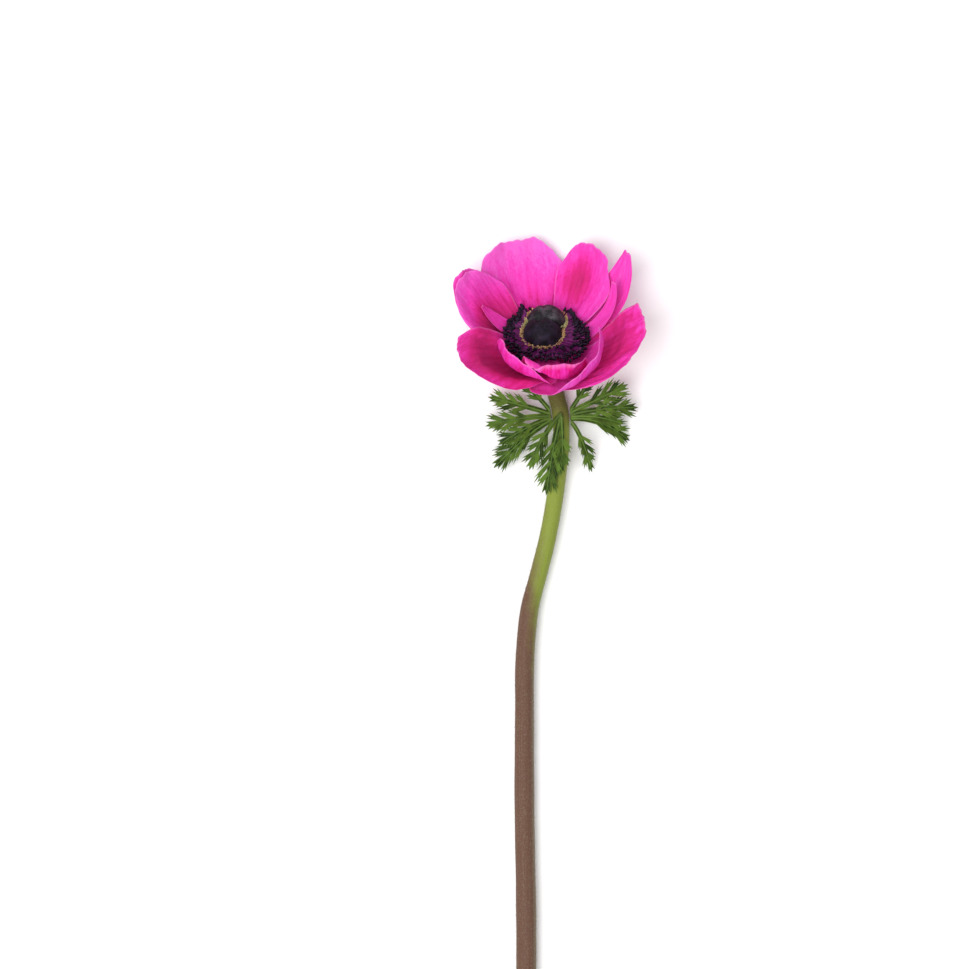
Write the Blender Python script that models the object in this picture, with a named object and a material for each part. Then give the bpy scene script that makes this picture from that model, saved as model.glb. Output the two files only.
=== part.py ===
# A cut anemone flower lying on a surface: one open bloom on its stem, with its collar of cut leaves.
# Lengths are in millimetres up to the moment a mesh is made. +Z is up, +Y runs along the stem to the
# bloom, and the bloom's axis leans up out of the surface, so that seen from above its face shows.

import math

import bpy
import numpy as np

# Driving dimensions, in millimetres and degrees

millimetre = 0.001
bloom_centre = np.array([-0.6, 159.6, 11.1])     # foot of the petals, above the surface
axis_lift = 45.0                                # angle between the bloom's axis and the surface
petal_thickness = 0.65
layer_gap = 0.40                                # clear space between two petals that overlap
layer_growth = 0.012                            # and so much more for each millimetre from the foot
lay_softness = 0.6                              # larger for a softer bend over another petal's edge
seat_gap = 0.30                                 # clear space between a piece and what carries it

knob_radius = 5.5                               # the knob at the stem's top that carries the petals
knob_top = 5.0                                  # along the bloom's axis, from the foot of the petals
knob_bottom = -6.5
petal_foot_height = -3.0                        # where the lowest petals leave the knob
petal_foot_radius = knob_radius + seat_gap + 0.1

cup_length = 50.0                               # length over which the cup turns up
cup_lift_mean = 36.0                            # mean slope of the cup, from flat
cup_lift_swing = 13.0                           # the back of the bloom stands steeper than its front
cup_steepest = 85.0                             # direction round the axis where it is steepest
cup_start = 0.30                                # slope at the foot, as a share of the mean slope
foot_length = 12.0

disc_bottom = knob_top + seat_gap               # the flat disc that carries the stamens
disc_top = disc_bottom + 1.9
seed_foot = disc_top + seat_gap                 # underside of the seed head
# The seed head is two round lobes grown together: middle across and back, radius, height of each
seed_lobes = [(-2.0, -1.8, 9.1, 7.7), (0.0, 7.1, 9.0, 7.6)]
seam_depth = 2.2                                # the groove between the lobes
seam_width = 0.9                                # difference of the lobes' heights over which it fades
# A dent in the back edge of each lobe: middle across and back, reach across and back, depth
lobe_dents = [(-3.6, 2.4, 1.5, 3.2, 2.2), (-1.2, 11.5, 1.1, 3.5, 1.2)]
stamen_reach = 19.3                             # the ring of stamens is a circle off the axis
stamen_ring = (0.0, -4.6)
stamen_rows = [(22, 0.0, 9.6), (28, 0.5, 9.0), (36, 1.0, 7.4)]     # count, place across, least height
thread_inset = 2.7                              # the innermost sacs stand this far off the seed head
thread_foot = 0.4                               # and the threads' feet this far, sunk in the disc
sac_length = 3.2
sac_radius = 1.15
sac_clearance = 2.5                             # least height of a sac's middle over the petals
back_fall = 4.0                                 # how much lower the stamens behind the seed head are
bare_back = 0.92                                # sine of the direction beyond which none are raised
disc_margin = 1.0                               # how far the disc reaches beyond the seed head

# Petals from the outermost inwards. Each rests on those named before it.
# turn: direction round the axis, long: length, half: half width, tip: how far the shoulders fall
# short of the tip, slant: how much the one shoulder is shorter than the other, taper: larger for a
# narrow tip, point: larger for a pointed one, skew: turn of the tip, rest: height over the cup,
# lean: rise towards the axis at the tip, bend: larger where that rise comes late, arch: how much of
# it is lost at the edges, twist: rise of the one edge over the middle, roll: rise of both edges, lip:
# how far the margin turns outwards, wave: height of its ruffle, notch: depth of its notches
petals = {
    "petal_01": dict(turn=160, long=53, half=16, tip=0.36, slant=0.0, taper=1.9, point=0.0, skew=-2,
                     rest=0, lean=0.0, bend=2, arch=0.0, twist=0.0, roll=1.0, lip=1.0, wave=0.8, notch=1.0),
    "petal_02": dict(turn=117, long=54, half=28, tip=0.27, slant=0.0, taper=1.9, point=0.0, skew=0,
                     rest=0, lean=0.0, bend=2, arch=0.0, twist=0.0, roll=1.0, lip=0.5, wave=0.9, notch=2.2),
    "petal_03": dict(turn=21.5, long=60.5, half=10.5, tip=0.0, slant=-0.02, taper=2.55, point=0.88, skew=6.0,
                     rest=0, lean=0.0, bend=2, arch=0.0, twist=1.0, roll=1.4, lip=0.0, wave=0.3, notch=0.0),
    "petal_04": dict(turn=310.5, long=48.5, half=28, tip=0.1, slant=-0.06, taper=1.9, point=0.0, skew=20,
                     rest=0, lean=-1.0, bend=2, arch=0.0, twist=4.2, roll=1.0, lip=4.0, wave=0.9, notch=0.8),
    "petal_05": dict(turn=296, long=47.5, half=24, tip=0.2, slant=0.03, taper=1.9, point=0.0, skew=-2,
                     rest=0, lean=2.0, bend=3, arch=1.0, twist=11, roll=0.5, lip=-5.5, wave=0.6, notch=0.6),
    "petal_06": dict(turn=51, long=56, half=16, tip=0.3, slant=0.0, taper=1.9, point=0.0, skew=2,
                     rest=1, lean=2.0, bend=2, arch=0.0, twist=0.0, roll=2.0, lip=0.5, wave=0.8, notch=1.0),
    "petal_07": dict(turn=162, long=53, half=18, tip=0.3, slant=0.0, taper=1.9, point=0.0, skew=0,
                     rest=1, lean=2.0, bend=2, arch=0.0, twist=0.0, roll=2.5, lip=1.0, wave=0.6, notch=0.4),
    "petal_08": dict(turn=168, long=35, half=5, tip=0.0, slant=0.0, taper=2.4, point=0.8, skew=0,
                     rest=2, lean=4.0, bend=2, arch=0.0, twist=0.0, roll=1.0, lip=0.0, wave=0.3, notch=0.0),
    "petal_09": dict(turn=228, long=49, half=25, tip=0.24, slant=0.1, taper=1.9, point=0.0, skew=0,
                     rest=1, lean=0.0, bend=2, arch=0.0, twist=-2.0, roll=4.0, lip=5.0, wave=1.0, notch=0.8),
    "petal_10": dict(turn=243, long=43, half=20, tip=0.24, slant=-0.07, taper=1.9, point=0.0, skew=4,
                     rest=1, lean=11.5, bend=4, arch=0.6, twist=-6, roll=0.5, lip=0.0, wave=0.5, notch=0.4),
    "petal_11": dict(turn=1, long=46, half=5, tip=0.0, slant=0.0, taper=2.2, point=0.84, skew=20,
                     rest=2, lean=5.0, bend=2, arch=0.0, twist=1.0, roll=0.6, lip=0.0, wave=0.1, notch=0.0),
    "petal_12": dict(turn=275, long=47, half=18, tip=0.03, slant=0.0, taper=1.9, point=0.0, skew=0,
                     rest=0, lean=11.8, bend=10, arch=0.4, twist=0.0, roll=0.5, lip=0.0, wave=0.5, notch=0.0),
}
claw_half_width = 3.2                           # half width of a petal where it leaves the knob
petal_rows = 10
petal_columns = 10                              # fewer on a narrow petal
narrowest_cell = 2.3                            # so that a cell is about this wide where it is widest

# The stem's middle line from the cut end to the neck: across and along from the bloom's centre,
# height above the surface, then the stem's radius there
stem_route = [
    (-9.4, -370.0, 4.75, 4.75),
    (-9.5, -323.0, 4.75, 4.75),
    (-9.4, -286.0, 4.80, 4.75),
    (-9.6, -262.0, 4.90, 4.80),
    (-10.3, -221.0, 5.00, 4.70),
    (-10.3, -176.0, 5.20, 4.55),
    (-10.1, -151.0, 5.40, 4.45),
    (-8.0, -127.4, 5.60, 4.30),
    (-3.5, -109.5, 5.80, 4.15),
    (0.9, -91.7, 6.00, 4.05),
    (4.4, -71.9, 6.20, 3.90),
    (7.0, -50.8, 6.30, 3.85),
    (7.0, -34.3, 6.20, 4.00),
    (4.7, -24.0, 5.60, 4.00),
    (2.2, -15.0, 5.20, 4.10),
    (0.8, -9.0, 5.60, 4.30),
]
stem_sides = 12
stem_rings_per_span = 2
collar_place = (7.0, -34.3, 6.2)                # where the three leaves meet the stem

leaf_thickness = 0.70
leaf_fold = 0.22                                # how far a division's sides stand up from its rib
leaf_play = 0.15                                # more room, for the flats between a leaf's points
lobe_span = (0.34, 0.80)                        # the stretch of the rib that the side lobes leave
lobe_angle = math.radians(33.0)                 # between a side lobe and the rib
lobe_bend = 0.10                                # how much a side lobe bends forwards
lobe_fill = 0.32                                # a side lobe's half width, as a share of its room
lobe_play = 0.12                                # how much the lobes of a division differ in length
lobe_sway = 0.10                                # and how far their ends stand up or hang down
# A lobe's end from its rear tooth over its tip to its front tooth: place across, reach
lobe_end = np.array([(-1.0, 0.84), (-0.4, 0.66), (0.0, 1.0), (0.4, 0.70), (1.0, 0.90)])
foot_step = np.array([0.0, -0.9, 0.12])         # from one division's foot to the next

table_height = 0.0
pressed_depth = 0.12                            # a petal's points this near the table lie flat on it
sharp_angle = 50.0                              # edges that turn more than this stay crisp


def unit(v):
    return v / np.linalg.norm(v, axis=-1, keepdims=True)


# The bloom's own directions, in the part's frame

lift = math.radians(axis_lift)
across = np.array([1.0, 0.0, 0.0])
backwards = np.array([0.0, math.sin(lift), -math.cos(lift)])
axis = np.array([0.0, math.cos(lift), math.sin(lift)])


def bloom_to_part(x, y, h):
    """Points given across, backwards and along the bloom's axis, in the part's frame."""
    x, y, h = np.broadcast_arrays(x, y, h)
    return bloom_centre + x[..., None] * across + y[..., None] * backwards + h[..., None] * axis


def cup_slope(s, turn):
    """Slope of the cup at arc length s: it grows evenly from the foot to the margin."""
    mean = np.radians(cup_lift_mean + cup_lift_swing * np.cos(turn - math.radians(cup_steepest)))
    growth = 2.0 * (1.0 - cup_start) * mean / cup_length
    return cup_start * mean + growth * s, cup_start * mean, growth


def cup_profile(s, turn):
    """Radius and height of the cup: the integral of its slope's cosine and sine."""
    slope, first, growth = cup_slope(s, turn)
    radius = petal_foot_radius + (np.sin(slope) - np.sin(first)) / growth
    height = petal_foot_height + (np.cos(first) - np.cos(slope)) / growth
    return radius, height, slope


def cup_point(s, turn, rise):
    """Point of the cup at arc length s and direction turn, raised by rise along its inward normal,
    or along the axis at the foot, where the petals stand one over another against the knob."""
    radius, height, slope = cup_profile(s, turn)
    inward = slope * np.clip(s / foot_length, 0.0, 1.0)
    radius = radius - rise * np.sin(inward)
    height = height + rise * np.cos(inward)
    return bloom_to_part(radius * np.cos(turn), radius * np.sin(turn), height)


def lowest_rise(s, turn):
    """The rise that lays a petal's outer face on the table, where the cup would dip below it."""
    foot = cup_point(s, turn, 0.0)[..., 2]
    step = cup_point(s, turn, 1.0)[..., 2] - foot
    floor = (table_height + petal_thickness / 2.0 - foot) / np.maximum(step, 0.3)
    return np.where(step > 0.3, floor, -9.0)


# How petals lie on each other: a field over arc length and direction holds the top of the pile

field_s = np.linspace(0.0, 62.0, 63)
field_turn = np.radians(np.arange(0.0, 360.0, 2.0))
bare = -4.0                                     # height of the pile where no petal lies
margin_cells = 3                                # width, in cells, over which a petal's edge is eased


def petal_half_width(petal, u):
    """Half width from claw to tip: a sine that peaks beyond the middle, less towards a pointed tip."""
    width = claw_half_width + (petal["half"] - claw_half_width) * np.sin(petal["taper"] * u ** 1.15)
    return width * (1.0 - petal["point"] * np.clip(u, 0.0, 1.0) ** 4)


def petal_rise(petal, u, v):
    """A petal's own height over the cup, before it is laid on the others."""
    seed = math.radians(petal["turn"])
    ruffle = np.sin(5.0 * v + 3.0 * seed) + 0.6 * np.sin(11.0 * v + 5.0 * seed)
    outward = np.clip((u - 0.76) / 0.24, 0.0, 1.0) ** 1.6
    lean = petal["lean"] * (1.0 - petal["arch"] * v ** 4)
    return (petal["rest"] + lean * u ** petal["bend"] + petal["twist"] * v * u ** 1.5
            + petal["roll"] * np.abs(v) ** 2.5 * np.sin(math.pi * np.clip(u, 0.0, 1.0))
            - petal["lip"] * outward + petal["wave"] * ruffle * u ** 3)


def shoulder_fall(petal, v):
    """Share of its length by which a petal's margin falls short beside the tip."""
    return petal["tip"] * np.abs(v) ** 2.4 + petal["slant"] * v


def petal_place(petal, u, v):
    """Arc length and direction of a petal's point: rows bend back to the shoulders, with notches."""
    seed = math.radians(petal["turn"])
    fall = shoulder_fall(petal, v)
    notches = petal["notch"] * (np.cos(7.0 * v + 2.0 * seed) - 1.0) / 2.0
    s = petal["long"] * u * (1.0 - fall * u) + notches * u ** 6
    radius, _, _ = cup_profile(s, seed)
    turn = seed + math.radians(petal["skew"]) * u ** 2 + v * petal_half_width(petal, u) / radius
    return s, turn


def petal_inside(petal, s, turn):
    """The petal's u and v at points of the field, and whether they lie on it."""
    seed = math.radians(petal["turn"])
    radius, _, _ = cup_profile(s, seed)
    u = np.clip(s / petal["long"], 0.0, 1.0)
    for _ in range(8):
        off = turn - seed - math.radians(petal["skew"]) * u ** 2
        off = (off + math.pi) % (2.0 * math.pi) - math.pi
        v = off * radius / petal_half_width(petal, u)
        fall = shoulder_fall(petal, np.clip(v, -1.3, 1.3))
        fall = np.where(np.abs(fall) < 1e-6, 1e-6, fall)
        root = np.maximum(1.0 - 4.0 * fall * s / petal["long"], 0.0)
        u = np.clip((1.0 - np.sqrt(root)) / (2.0 * fall), 0.0, 1.2)
    return np.clip(u, 0.0, 1.0), np.clip(v, -1.0, 1.0), (np.abs(v) < 1.03) & (u < 1.02)


def eased(field):
    """The field widened by a few cells and smoothed by as many, so it stays on or over itself."""
    for _ in range(margin_cells):
        field = np.maximum(field, np.maximum(np.roll(field, 1, 1), np.roll(field, -1, 1)))
        padded = np.pad(field, ((1, 1), (0, 0)), mode="edge")
        field = np.maximum(field, np.maximum(padded[:-2], padded[2:]))
    for _ in range(margin_cells):
        field = (np.roll(field, 1, 1) + field + np.roll(field, -1, 1)) / 3.0
        padded = np.pad(field, ((1, 1), (0, 0)), mode="edge")
        field = (padded[:-2] + field + padded[2:]) / 3.0
    return field


def field_at(field, s, turn):
    """The field between its nodes, in proportion to the four that surround the point."""
    row = np.clip(s / (field_s[1] - field_s[0]), 0.0, len(field_s) - 1.001)
    column = (turn % (2.0 * math.pi)) / (field_turn[1] - field_turn[0])
    i, j = row.astype(int), column.astype(int) % len(field_turn)
    a, b, after = row - i, column - column.astype(int), (j + 1) % len(field_turn)
    return ((1 - a) * ((1 - b) * field[i, j] + b * field[i, after])
            + a * ((1 - b) * field[i + 1, j] + b * field[i + 1, after]))


def laid_rise(petal, u, v, s, turn, pile):
    """A petal's height once it lies on the pile and on the table, whichever is higher."""
    spacing = petal_thickness + layer_gap + layer_growth * s
    own = petal_rise(petal, u, v)
    held = field_at(pile, s, turn) + spacing
    rise = (own + held + np.sqrt((own - held) ** 2 + lay_softness)) / 2.0
    return np.maximum(rise, lowest_rise(s, turn))


def layered_petals():
    """Middle surface of each petal as a grid of points, laid one on another from the outside in, and
    the top of the pile they make."""
    pile = np.full((len(field_s), len(field_turn)), bare)
    grid_s, grid_turn = np.meshgrid(field_s, field_turn, indexing="ij")
    surfaces = {}
    for name, petal in petals.items():
        under = eased(pile)
        columns = int(np.clip(2 * round(petal["half"] / (2.0 * narrowest_cell)), 4, petal_columns))
        u, v = np.meshgrid(np.linspace(0.0, 1.0, petal_rows + 1) ** 0.9,
                           np.linspace(-1.0, 1.0, columns + 1), indexing="ij")
        s, turn = petal_place(petal, u, v)
        surfaces[name] = cup_point(s, turn, laid_rise(petal, u, v, s, turn, under))
        u, v, inside = petal_inside(petal, grid_s, grid_turn)
        top = laid_rise(petal, u, v, grid_s, grid_turn, under)
        pile = np.where(inside, np.maximum(pile, top), pile)
    return surfaces, pile


def petal_top(pile, turn, reach):
    """Height of the uppermost petal at a distance from the axis, found by stepping along the cup."""
    s = reach - petal_foot_radius
    for _ in range(4):
        radius, height, slope = cup_profile(s, turn)
        rise = field_at(pile, s, turn)
        inward = slope * np.clip(s / foot_length, 0.0, 1.0)
        s = np.clip(s + reach - radius + rise * np.sin(inward), 0.0, field_s[-1])
    return height + rise * np.cos(inward)


# Mesh making

def add_object(name, points, faces, colour, roughness):
    """A named object with its own material, from points in millimetres and lists of corners."""
    mesh = bpy.data.meshes.new(name)
    mesh.from_pydata((np.asarray(points) * millimetre).tolist(), [], faces)
    mesh.validate()
    mesh.shade_smooth()
    mesh.set_sharp_from_angle(angle=math.radians(sharp_angle))
    material = bpy.data.materials.new(name)
    material.use_nodes = True
    shader = material.node_tree.nodes["Principled BSDF"]
    shader.inputs["Base Color"].default_value = (*colour, 1.0)
    shader.inputs["Roughness"].default_value = roughness
    shader.inputs["Metallic"].default_value = 0.0
    mesh.materials.append(material)
    item = bpy.data.objects.new(name, mesh)
    bpy.context.scene.collection.objects.link(item)
    return item


def surface_normals(points, triangles):
    """Normal at each point: the sum of those of the triangles that meet there."""
    corners = points[triangles]
    each = np.cross(corners[:, 1] - corners[:, 0], corners[:, 2] - corners[:, 0])
    normals = np.zeros_like(points)
    for corner in range(3):
        np.add.at(normals, triangles[:, corner], each)
    return unit(normals)


def sheet_solid(points, triangles, thickness):
    """A closed blade: the middle surface moved both ways, split alike, with a rim round its edge."""
    normals = surface_normals(points, triangles)
    count = len(points)
    both = np.vstack([points + normals * thickness / 2.0, points - normals * thickness / 2.0])
    faces = [tuple(t) for t in triangles.tolist()]
    faces += [(c + count, b + count, a + count) for a, b, c in triangles.tolist()]
    used = {(a, b) for t in triangles.tolist() for a, b in ((t[0], t[1]), (t[1], t[2]), (t[2], t[0]))}
    for a, b in sorted(used):
        if (b, a) not in used:
            faces += [(b, a, a + count), (b, a + count, b + count)]
    return both, faces


def grid_triangles(points):
    """Two triangles for each cell of a grid of points, cut along the shorter diagonal."""
    rows, columns, _ = points.shape
    triangles = []
    for i in range(rows - 1):
        for j in range(columns - 1):
            a, b = i * columns + j, i * columns + j + 1
            c, d = (i + 1) * columns + j + 1, (i + 1) * columns + j
            first = np.linalg.norm(points[i, j] - points[i + 1, j + 1])
            second = np.linalg.norm(points[i, j + 1] - points[i + 1, j])
            triangles += [(a, b, c), (a, c, d)] if first < second else [(a, b, d), (b, c, d)]
    return np.array(triangles)


def make_petals(surfaces):
    pink = (0.78, 0.03, 0.42)
    for name, grid in surfaces.items():
        triangles = grid_triangles(grid)
        points, faces = sheet_solid(grid.reshape(-1, 3), triangles, petal_thickness)
        pressed = points[:, 2] < table_height + pressed_depth
        points[pressed, 2] = table_height
        add_object(name, points, faces, pink, 0.55)


def catmull_rom(points, per_span):
    """A smooth curve through the points, each span cut into equal steps."""
    points = np.asarray(points, dtype=float)
    ends = np.vstack([2 * points[0] - points[1], points, 2 * points[-1] - points[-2]])
    curve = []
    for i in range(len(points) - 1):
        p0, p1, p2, p3 = ends[i:i + 4]
        for k in range(per_span):
            t = k / per_span
            curve.append(0.5 * (2 * p1 + (p2 - p0) * t + (2 * p0 - 5 * p1 + 4 * p2 - p3) * t ** 2
                                + (3 * p1 - p0 - 3 * p2 + p3) * t ** 3))
    curve.append(points[-1])
    return np.array(curve)


def tube(middle, radii, sides):
    """Rings of points round a middle line, carried along it without turning."""
    tangents = unit(np.gradient(middle, axis=0))
    side = unit(np.cross(tangents[0], [0.0, 0.0, 1.0]))
    angles = np.linspace(0.0, 2.0 * math.pi, sides, endpoint=False)
    rings = []
    for point, tangent, radius in zip(middle, tangents, radii):
        side = unit(side - tangent * np.dot(side, tangent))
        up = np.cross(side, tangent)
        rings.append(point + radius * (np.cos(angles)[:, None] * side + np.sin(angles)[:, None] * up))
    return np.array(rings)


def closed_tube(rings):
    """Points and faces of a tube with both ends filled."""
    count, sides, _ = rings.shape
    faces = []
    for i in range(count - 1):
        for j in range(sides):
            after = (j + 1) % sides
            faces.append((i * sides + j, (i + 1) * sides + j, (i + 1) * sides + after, i * sides + after))
    faces.append(tuple(range(sides)))
    faces.append(tuple((count - 1) * sides + j for j in reversed(range(sides))))
    return rings.reshape(-1, 3), faces


def stem_middle():
    """The stem's middle line and radii, from the cut end up to the knob that carries the petals."""
    line = catmull_rom(stem_route, stem_rings_per_span)
    line[:, :2] += bloom_centre[:2]
    neck = [(knob_bottom, 4.6), (knob_bottom + 2.0, knob_radius), (knob_top, knob_radius)]
    knob = [(*bloom_to_part(0.0, 0.0, height), radius) for height, radius in neck]
    line = np.vstack([line, knob])
    return line[:, :3], line[:, 3]


def make_stem():
    middle, radii = stem_middle()
    rings = tube(middle, radii, stem_sides)
    points, faces = closed_tube(rings)
    points[:, 2] = np.maximum(points[:, 2], table_height)
    add_object("stem", points, faces, (0.30, 0.33, 0.12), 0.55)


def seed_head_height(x, y):
    """Height of the seed head over its foot: the higher of two domes, less a groove where they meet
    and a dent in each."""
    front, back = [height * np.sqrt(np.clip(1.0 - ((x - cx) ** 2 + (y - cy) ** 2) / radius ** 2, 0.0, 1.0))
                   for cx, cy, radius, height in seed_lobes]
    seam = np.exp(-((front - back) / seam_width) ** 2) * np.clip(np.minimum(front, back) / 3.0, 0.0, 1.0)
    dents = sum(depth * np.exp(-((x - cx) / wide) ** 2 - ((y - cy) / long) ** 2)
                for cx, cy, wide, long, depth in lobe_dents)
    return np.maximum(front, back) - seam_depth * seam - dents


def seed_head_outline(turn, extra=0.0):
    """Distance from the axis to the seed head's rim: the further of its two round lobes."""
    reach = []
    for cx, cy, radius, _ in seed_lobes:
        along = cx * np.cos(turn) + cy * np.sin(turn)
        aside = -cx * np.sin(turn) + cy * np.cos(turn)
        reach.append(along + np.sqrt(np.maximum((radius + extra) ** 2 - aside ** 2, 0.0)))
    return np.maximum(reach[0], reach[1])


def make_seed_head():
    """Two domes on a flat foot, with short styles raised all over them by a formula."""
    rows, columns = 15, 36
    turn = np.linspace(0.0, 2.0 * math.pi, columns, endpoint=False)
    share = np.sin(np.linspace(0.0, math.pi / 2.0, rows + 1))[1:]
    rim = seed_head_outline(turn)
    x = share[:, None] * rim * np.cos(turn)
    y = share[:, None] * rim * np.sin(turn)
    bumps = 0.22 * np.cos(2.1 * x) * np.cos(2.1 * y)
    bumps[-2:] = 0.0
    height = np.maximum(seed_head_height(x, y), 0.0) + bumps
    height[-1] = 0.6
    top = bloom_to_part(x, y, seed_foot + height)
    foot = bloom_to_part(x[-1], y[-1], np.full(columns, seed_foot))
    peak = bloom_to_part(0.0, 0.0, seed_foot + seed_head_height(np.array(0.0), np.array(0.0)))
    points = np.vstack([top.reshape(-1, 3), foot, peak[None]])
    faces = []
    for i in range(rows):
        for j in range(columns):
            after = (j + 1) % columns
            faces.append((i * columns + j, (i + 1) * columns + j, (i + 1) * columns + after,
                          i * columns + after))
    faces += [(len(points) - 1, j, (j + 1) % columns) for j in range(columns)]
    faces.append(tuple(rows * columns + j for j in reversed(range(columns))))
    add_object("seed_head", points, faces, (0.012, 0.010, 0.030), 0.6)


def join_solids(name, solids, colour, roughness):
    """One closed body from several that are sunk into each other."""
    items = [add_object(f"{name}_{i}", points, faces, colour, roughness)
             for i, (points, faces) in enumerate(solids)]
    first, others = items[0], items[1:]
    group = bpy.data.collections.new(name)
    for item in others:
        group.objects.link(item)
    union = first.modifiers.new("union", "BOOLEAN")
    union.operation = "UNION"
    union.operand_type = "COLLECTION"
    union.collection = group
    union.solver = "MANIFOLD"
    evaluated = first.evaluated_get(bpy.context.evaluated_depsgraph_get())
    joined = bpy.data.meshes.new_from_object(evaluated)
    first.modifiers.clear()
    first.data = joined
    joined.name = name
    first.name = name
    for item in others:
        bpy.data.objects.remove(item)
    bpy.data.collections.remove(group)


def rod(start, end, start_radius, end_radius, sides):
    """A slim straight rod that narrows evenly."""
    middle = np.array([start, end])
    return closed_tube(tube(middle, [start_radius, end_radius], sides))


def anther(centre, direction, length, radius):
    """A pollen sac: a four-sided spindle, blunt at both ends."""
    middle = centre + direction * length * np.array([-0.5, 0.0, 0.5])[:, None]
    return closed_tube(tube(middle, radius * np.array([0.55, 1.0, 0.45]), 4))


def stamen_limit(angle):
    """Distance from the axis to the stamens' outer ring, at least clear of the seed head."""
    along = stamen_ring[0] * math.cos(angle) + stamen_ring[1] * math.sin(angle)
    aside = -stamen_ring[0] * math.sin(angle) + stamen_ring[1] * math.cos(angle)
    return along + math.sqrt(stamen_reach ** 2 - aside ** 2)


def make_stamens(pile):
    """A disc with three crowded rows of stamens, each a thread with a pollen sac at its end, which
    stands clear of the seed head within and of the petals beneath."""
    columns = 24
    turn = np.linspace(0.0, 2.0 * math.pi, columns, endpoint=False)
    rim = seed_head_outline(turn, disc_margin)
    rings = [bloom_to_part(share * rim * np.cos(turn), share * rim * np.sin(turn), height)
             for share, height in ((0.80, disc_bottom), (1.0, disc_top - 0.9), (0.98, disc_top))]
    points, faces = closed_tube(np.array(rings)[::-1])
    solids = [(points, faces)]
    draw = np.random.default_rng(11)
    for count, share, height in stamen_rows:
        for k in range(count):
            angle = 2.0 * math.pi * (k + 0.5 * draw.random()) / count
            if math.sin(angle) > bare_back - 0.12 * share:
                continue
            start = float(seed_head_outline(np.array(angle)))
            inner = start + thread_inset
            reach = inner + share * max(stamen_limit(angle) - inner, 1.2) + draw.uniform(-0.3, 0.5)
            nearby = angle + np.array([-0.07, 0.0, 0.07])[:, None]
            under = petal_top(pile, nearby, reach + np.array([-0.5, 1.7]))
            low = height - back_fall * max(math.sin(angle), 0.0)
            top = max(low, np.max(under) + sac_clearance) + draw.uniform(0.0, 0.8)
            foot = start + thread_foot
            root = bloom_to_part(foot * math.cos(angle), foot * math.sin(angle), disc_top - 0.6)
            tip = bloom_to_part(reach * math.cos(angle), reach * math.sin(angle), top)
            solids.append(rod(root, tip, 0.40, 0.36, 3))
            side = draw.uniform(-0.6, 0.6)
            lean = bloom_to_part(math.cos(angle + side), math.sin(angle + side), 1.1) - bloom_centre
            solids.append(anther(tip, unit(lean), sac_length, sac_radius))
    join_solids("stamens", solids, (0.020, 0.010, 0.045), 0.7)


# The collar: each leaf is a fan of divisions, and each division a rib with toothed lobes in pairs

def lobe(start, ahead, out, face, angle, length, half, sway, u, w):
    """A lobe's surface: it leaves the rib at an angle, bends forwards and widens evenly, its sides
    stand up from the rib, and its end runs through three pointed teeth."""
    x = u * (1.0 + (np.interp(w, *lobe_end.T) - 1.0) * u ** 2)
    spread = half * w * (0.7 + 0.5 * u)
    forward = length * x * (math.cos(angle) + lobe_bend * x * math.sin(angle)) + spread * math.sin(angle)
    aside = length * x * (1.0 - lobe_bend * x) * math.sin(angle) - spread * math.cos(angle)
    raised = leaf_fold * np.abs(aside) + sway * length * x ** 2
    return start + forward[..., None] * ahead + aside[..., None] * out + raised[..., None] * face


def blade_half_width(reach, t):
    """Half width of the blade along a division's rib, between its lobes."""
    return 0.5 + reach * (0.105 + 0.05 * np.sin(math.pi * t) - 0.04 * t)


def lobe_length(reach, k, pairs, hand):
    """Length of a side lobe: the middle pairs are longest, and no two are quite alike."""
    share = 0.74 + 0.20 * math.sin(math.pi * (k + 0.6) / pairs) - 0.10 * k / pairs
    return reach * share * (1.0 + lobe_play * math.cos(2.4 * k + 1.3 * hand)) / math.sin(lobe_angle)


def lobe_points(*values):
    """A lobe's corners: rear shoulder, rear tooth, notch, tip, notch, front tooth, front shoulder."""
    u = np.array([0.65, 1.0, 1.0, 1.0, 1.0, 1.0, 0.65])
    w = np.array([-1.0, -1.0, -0.4, 0.0, 0.4, 1.0, 1.0])
    return lobe(*values, u, w)


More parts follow.
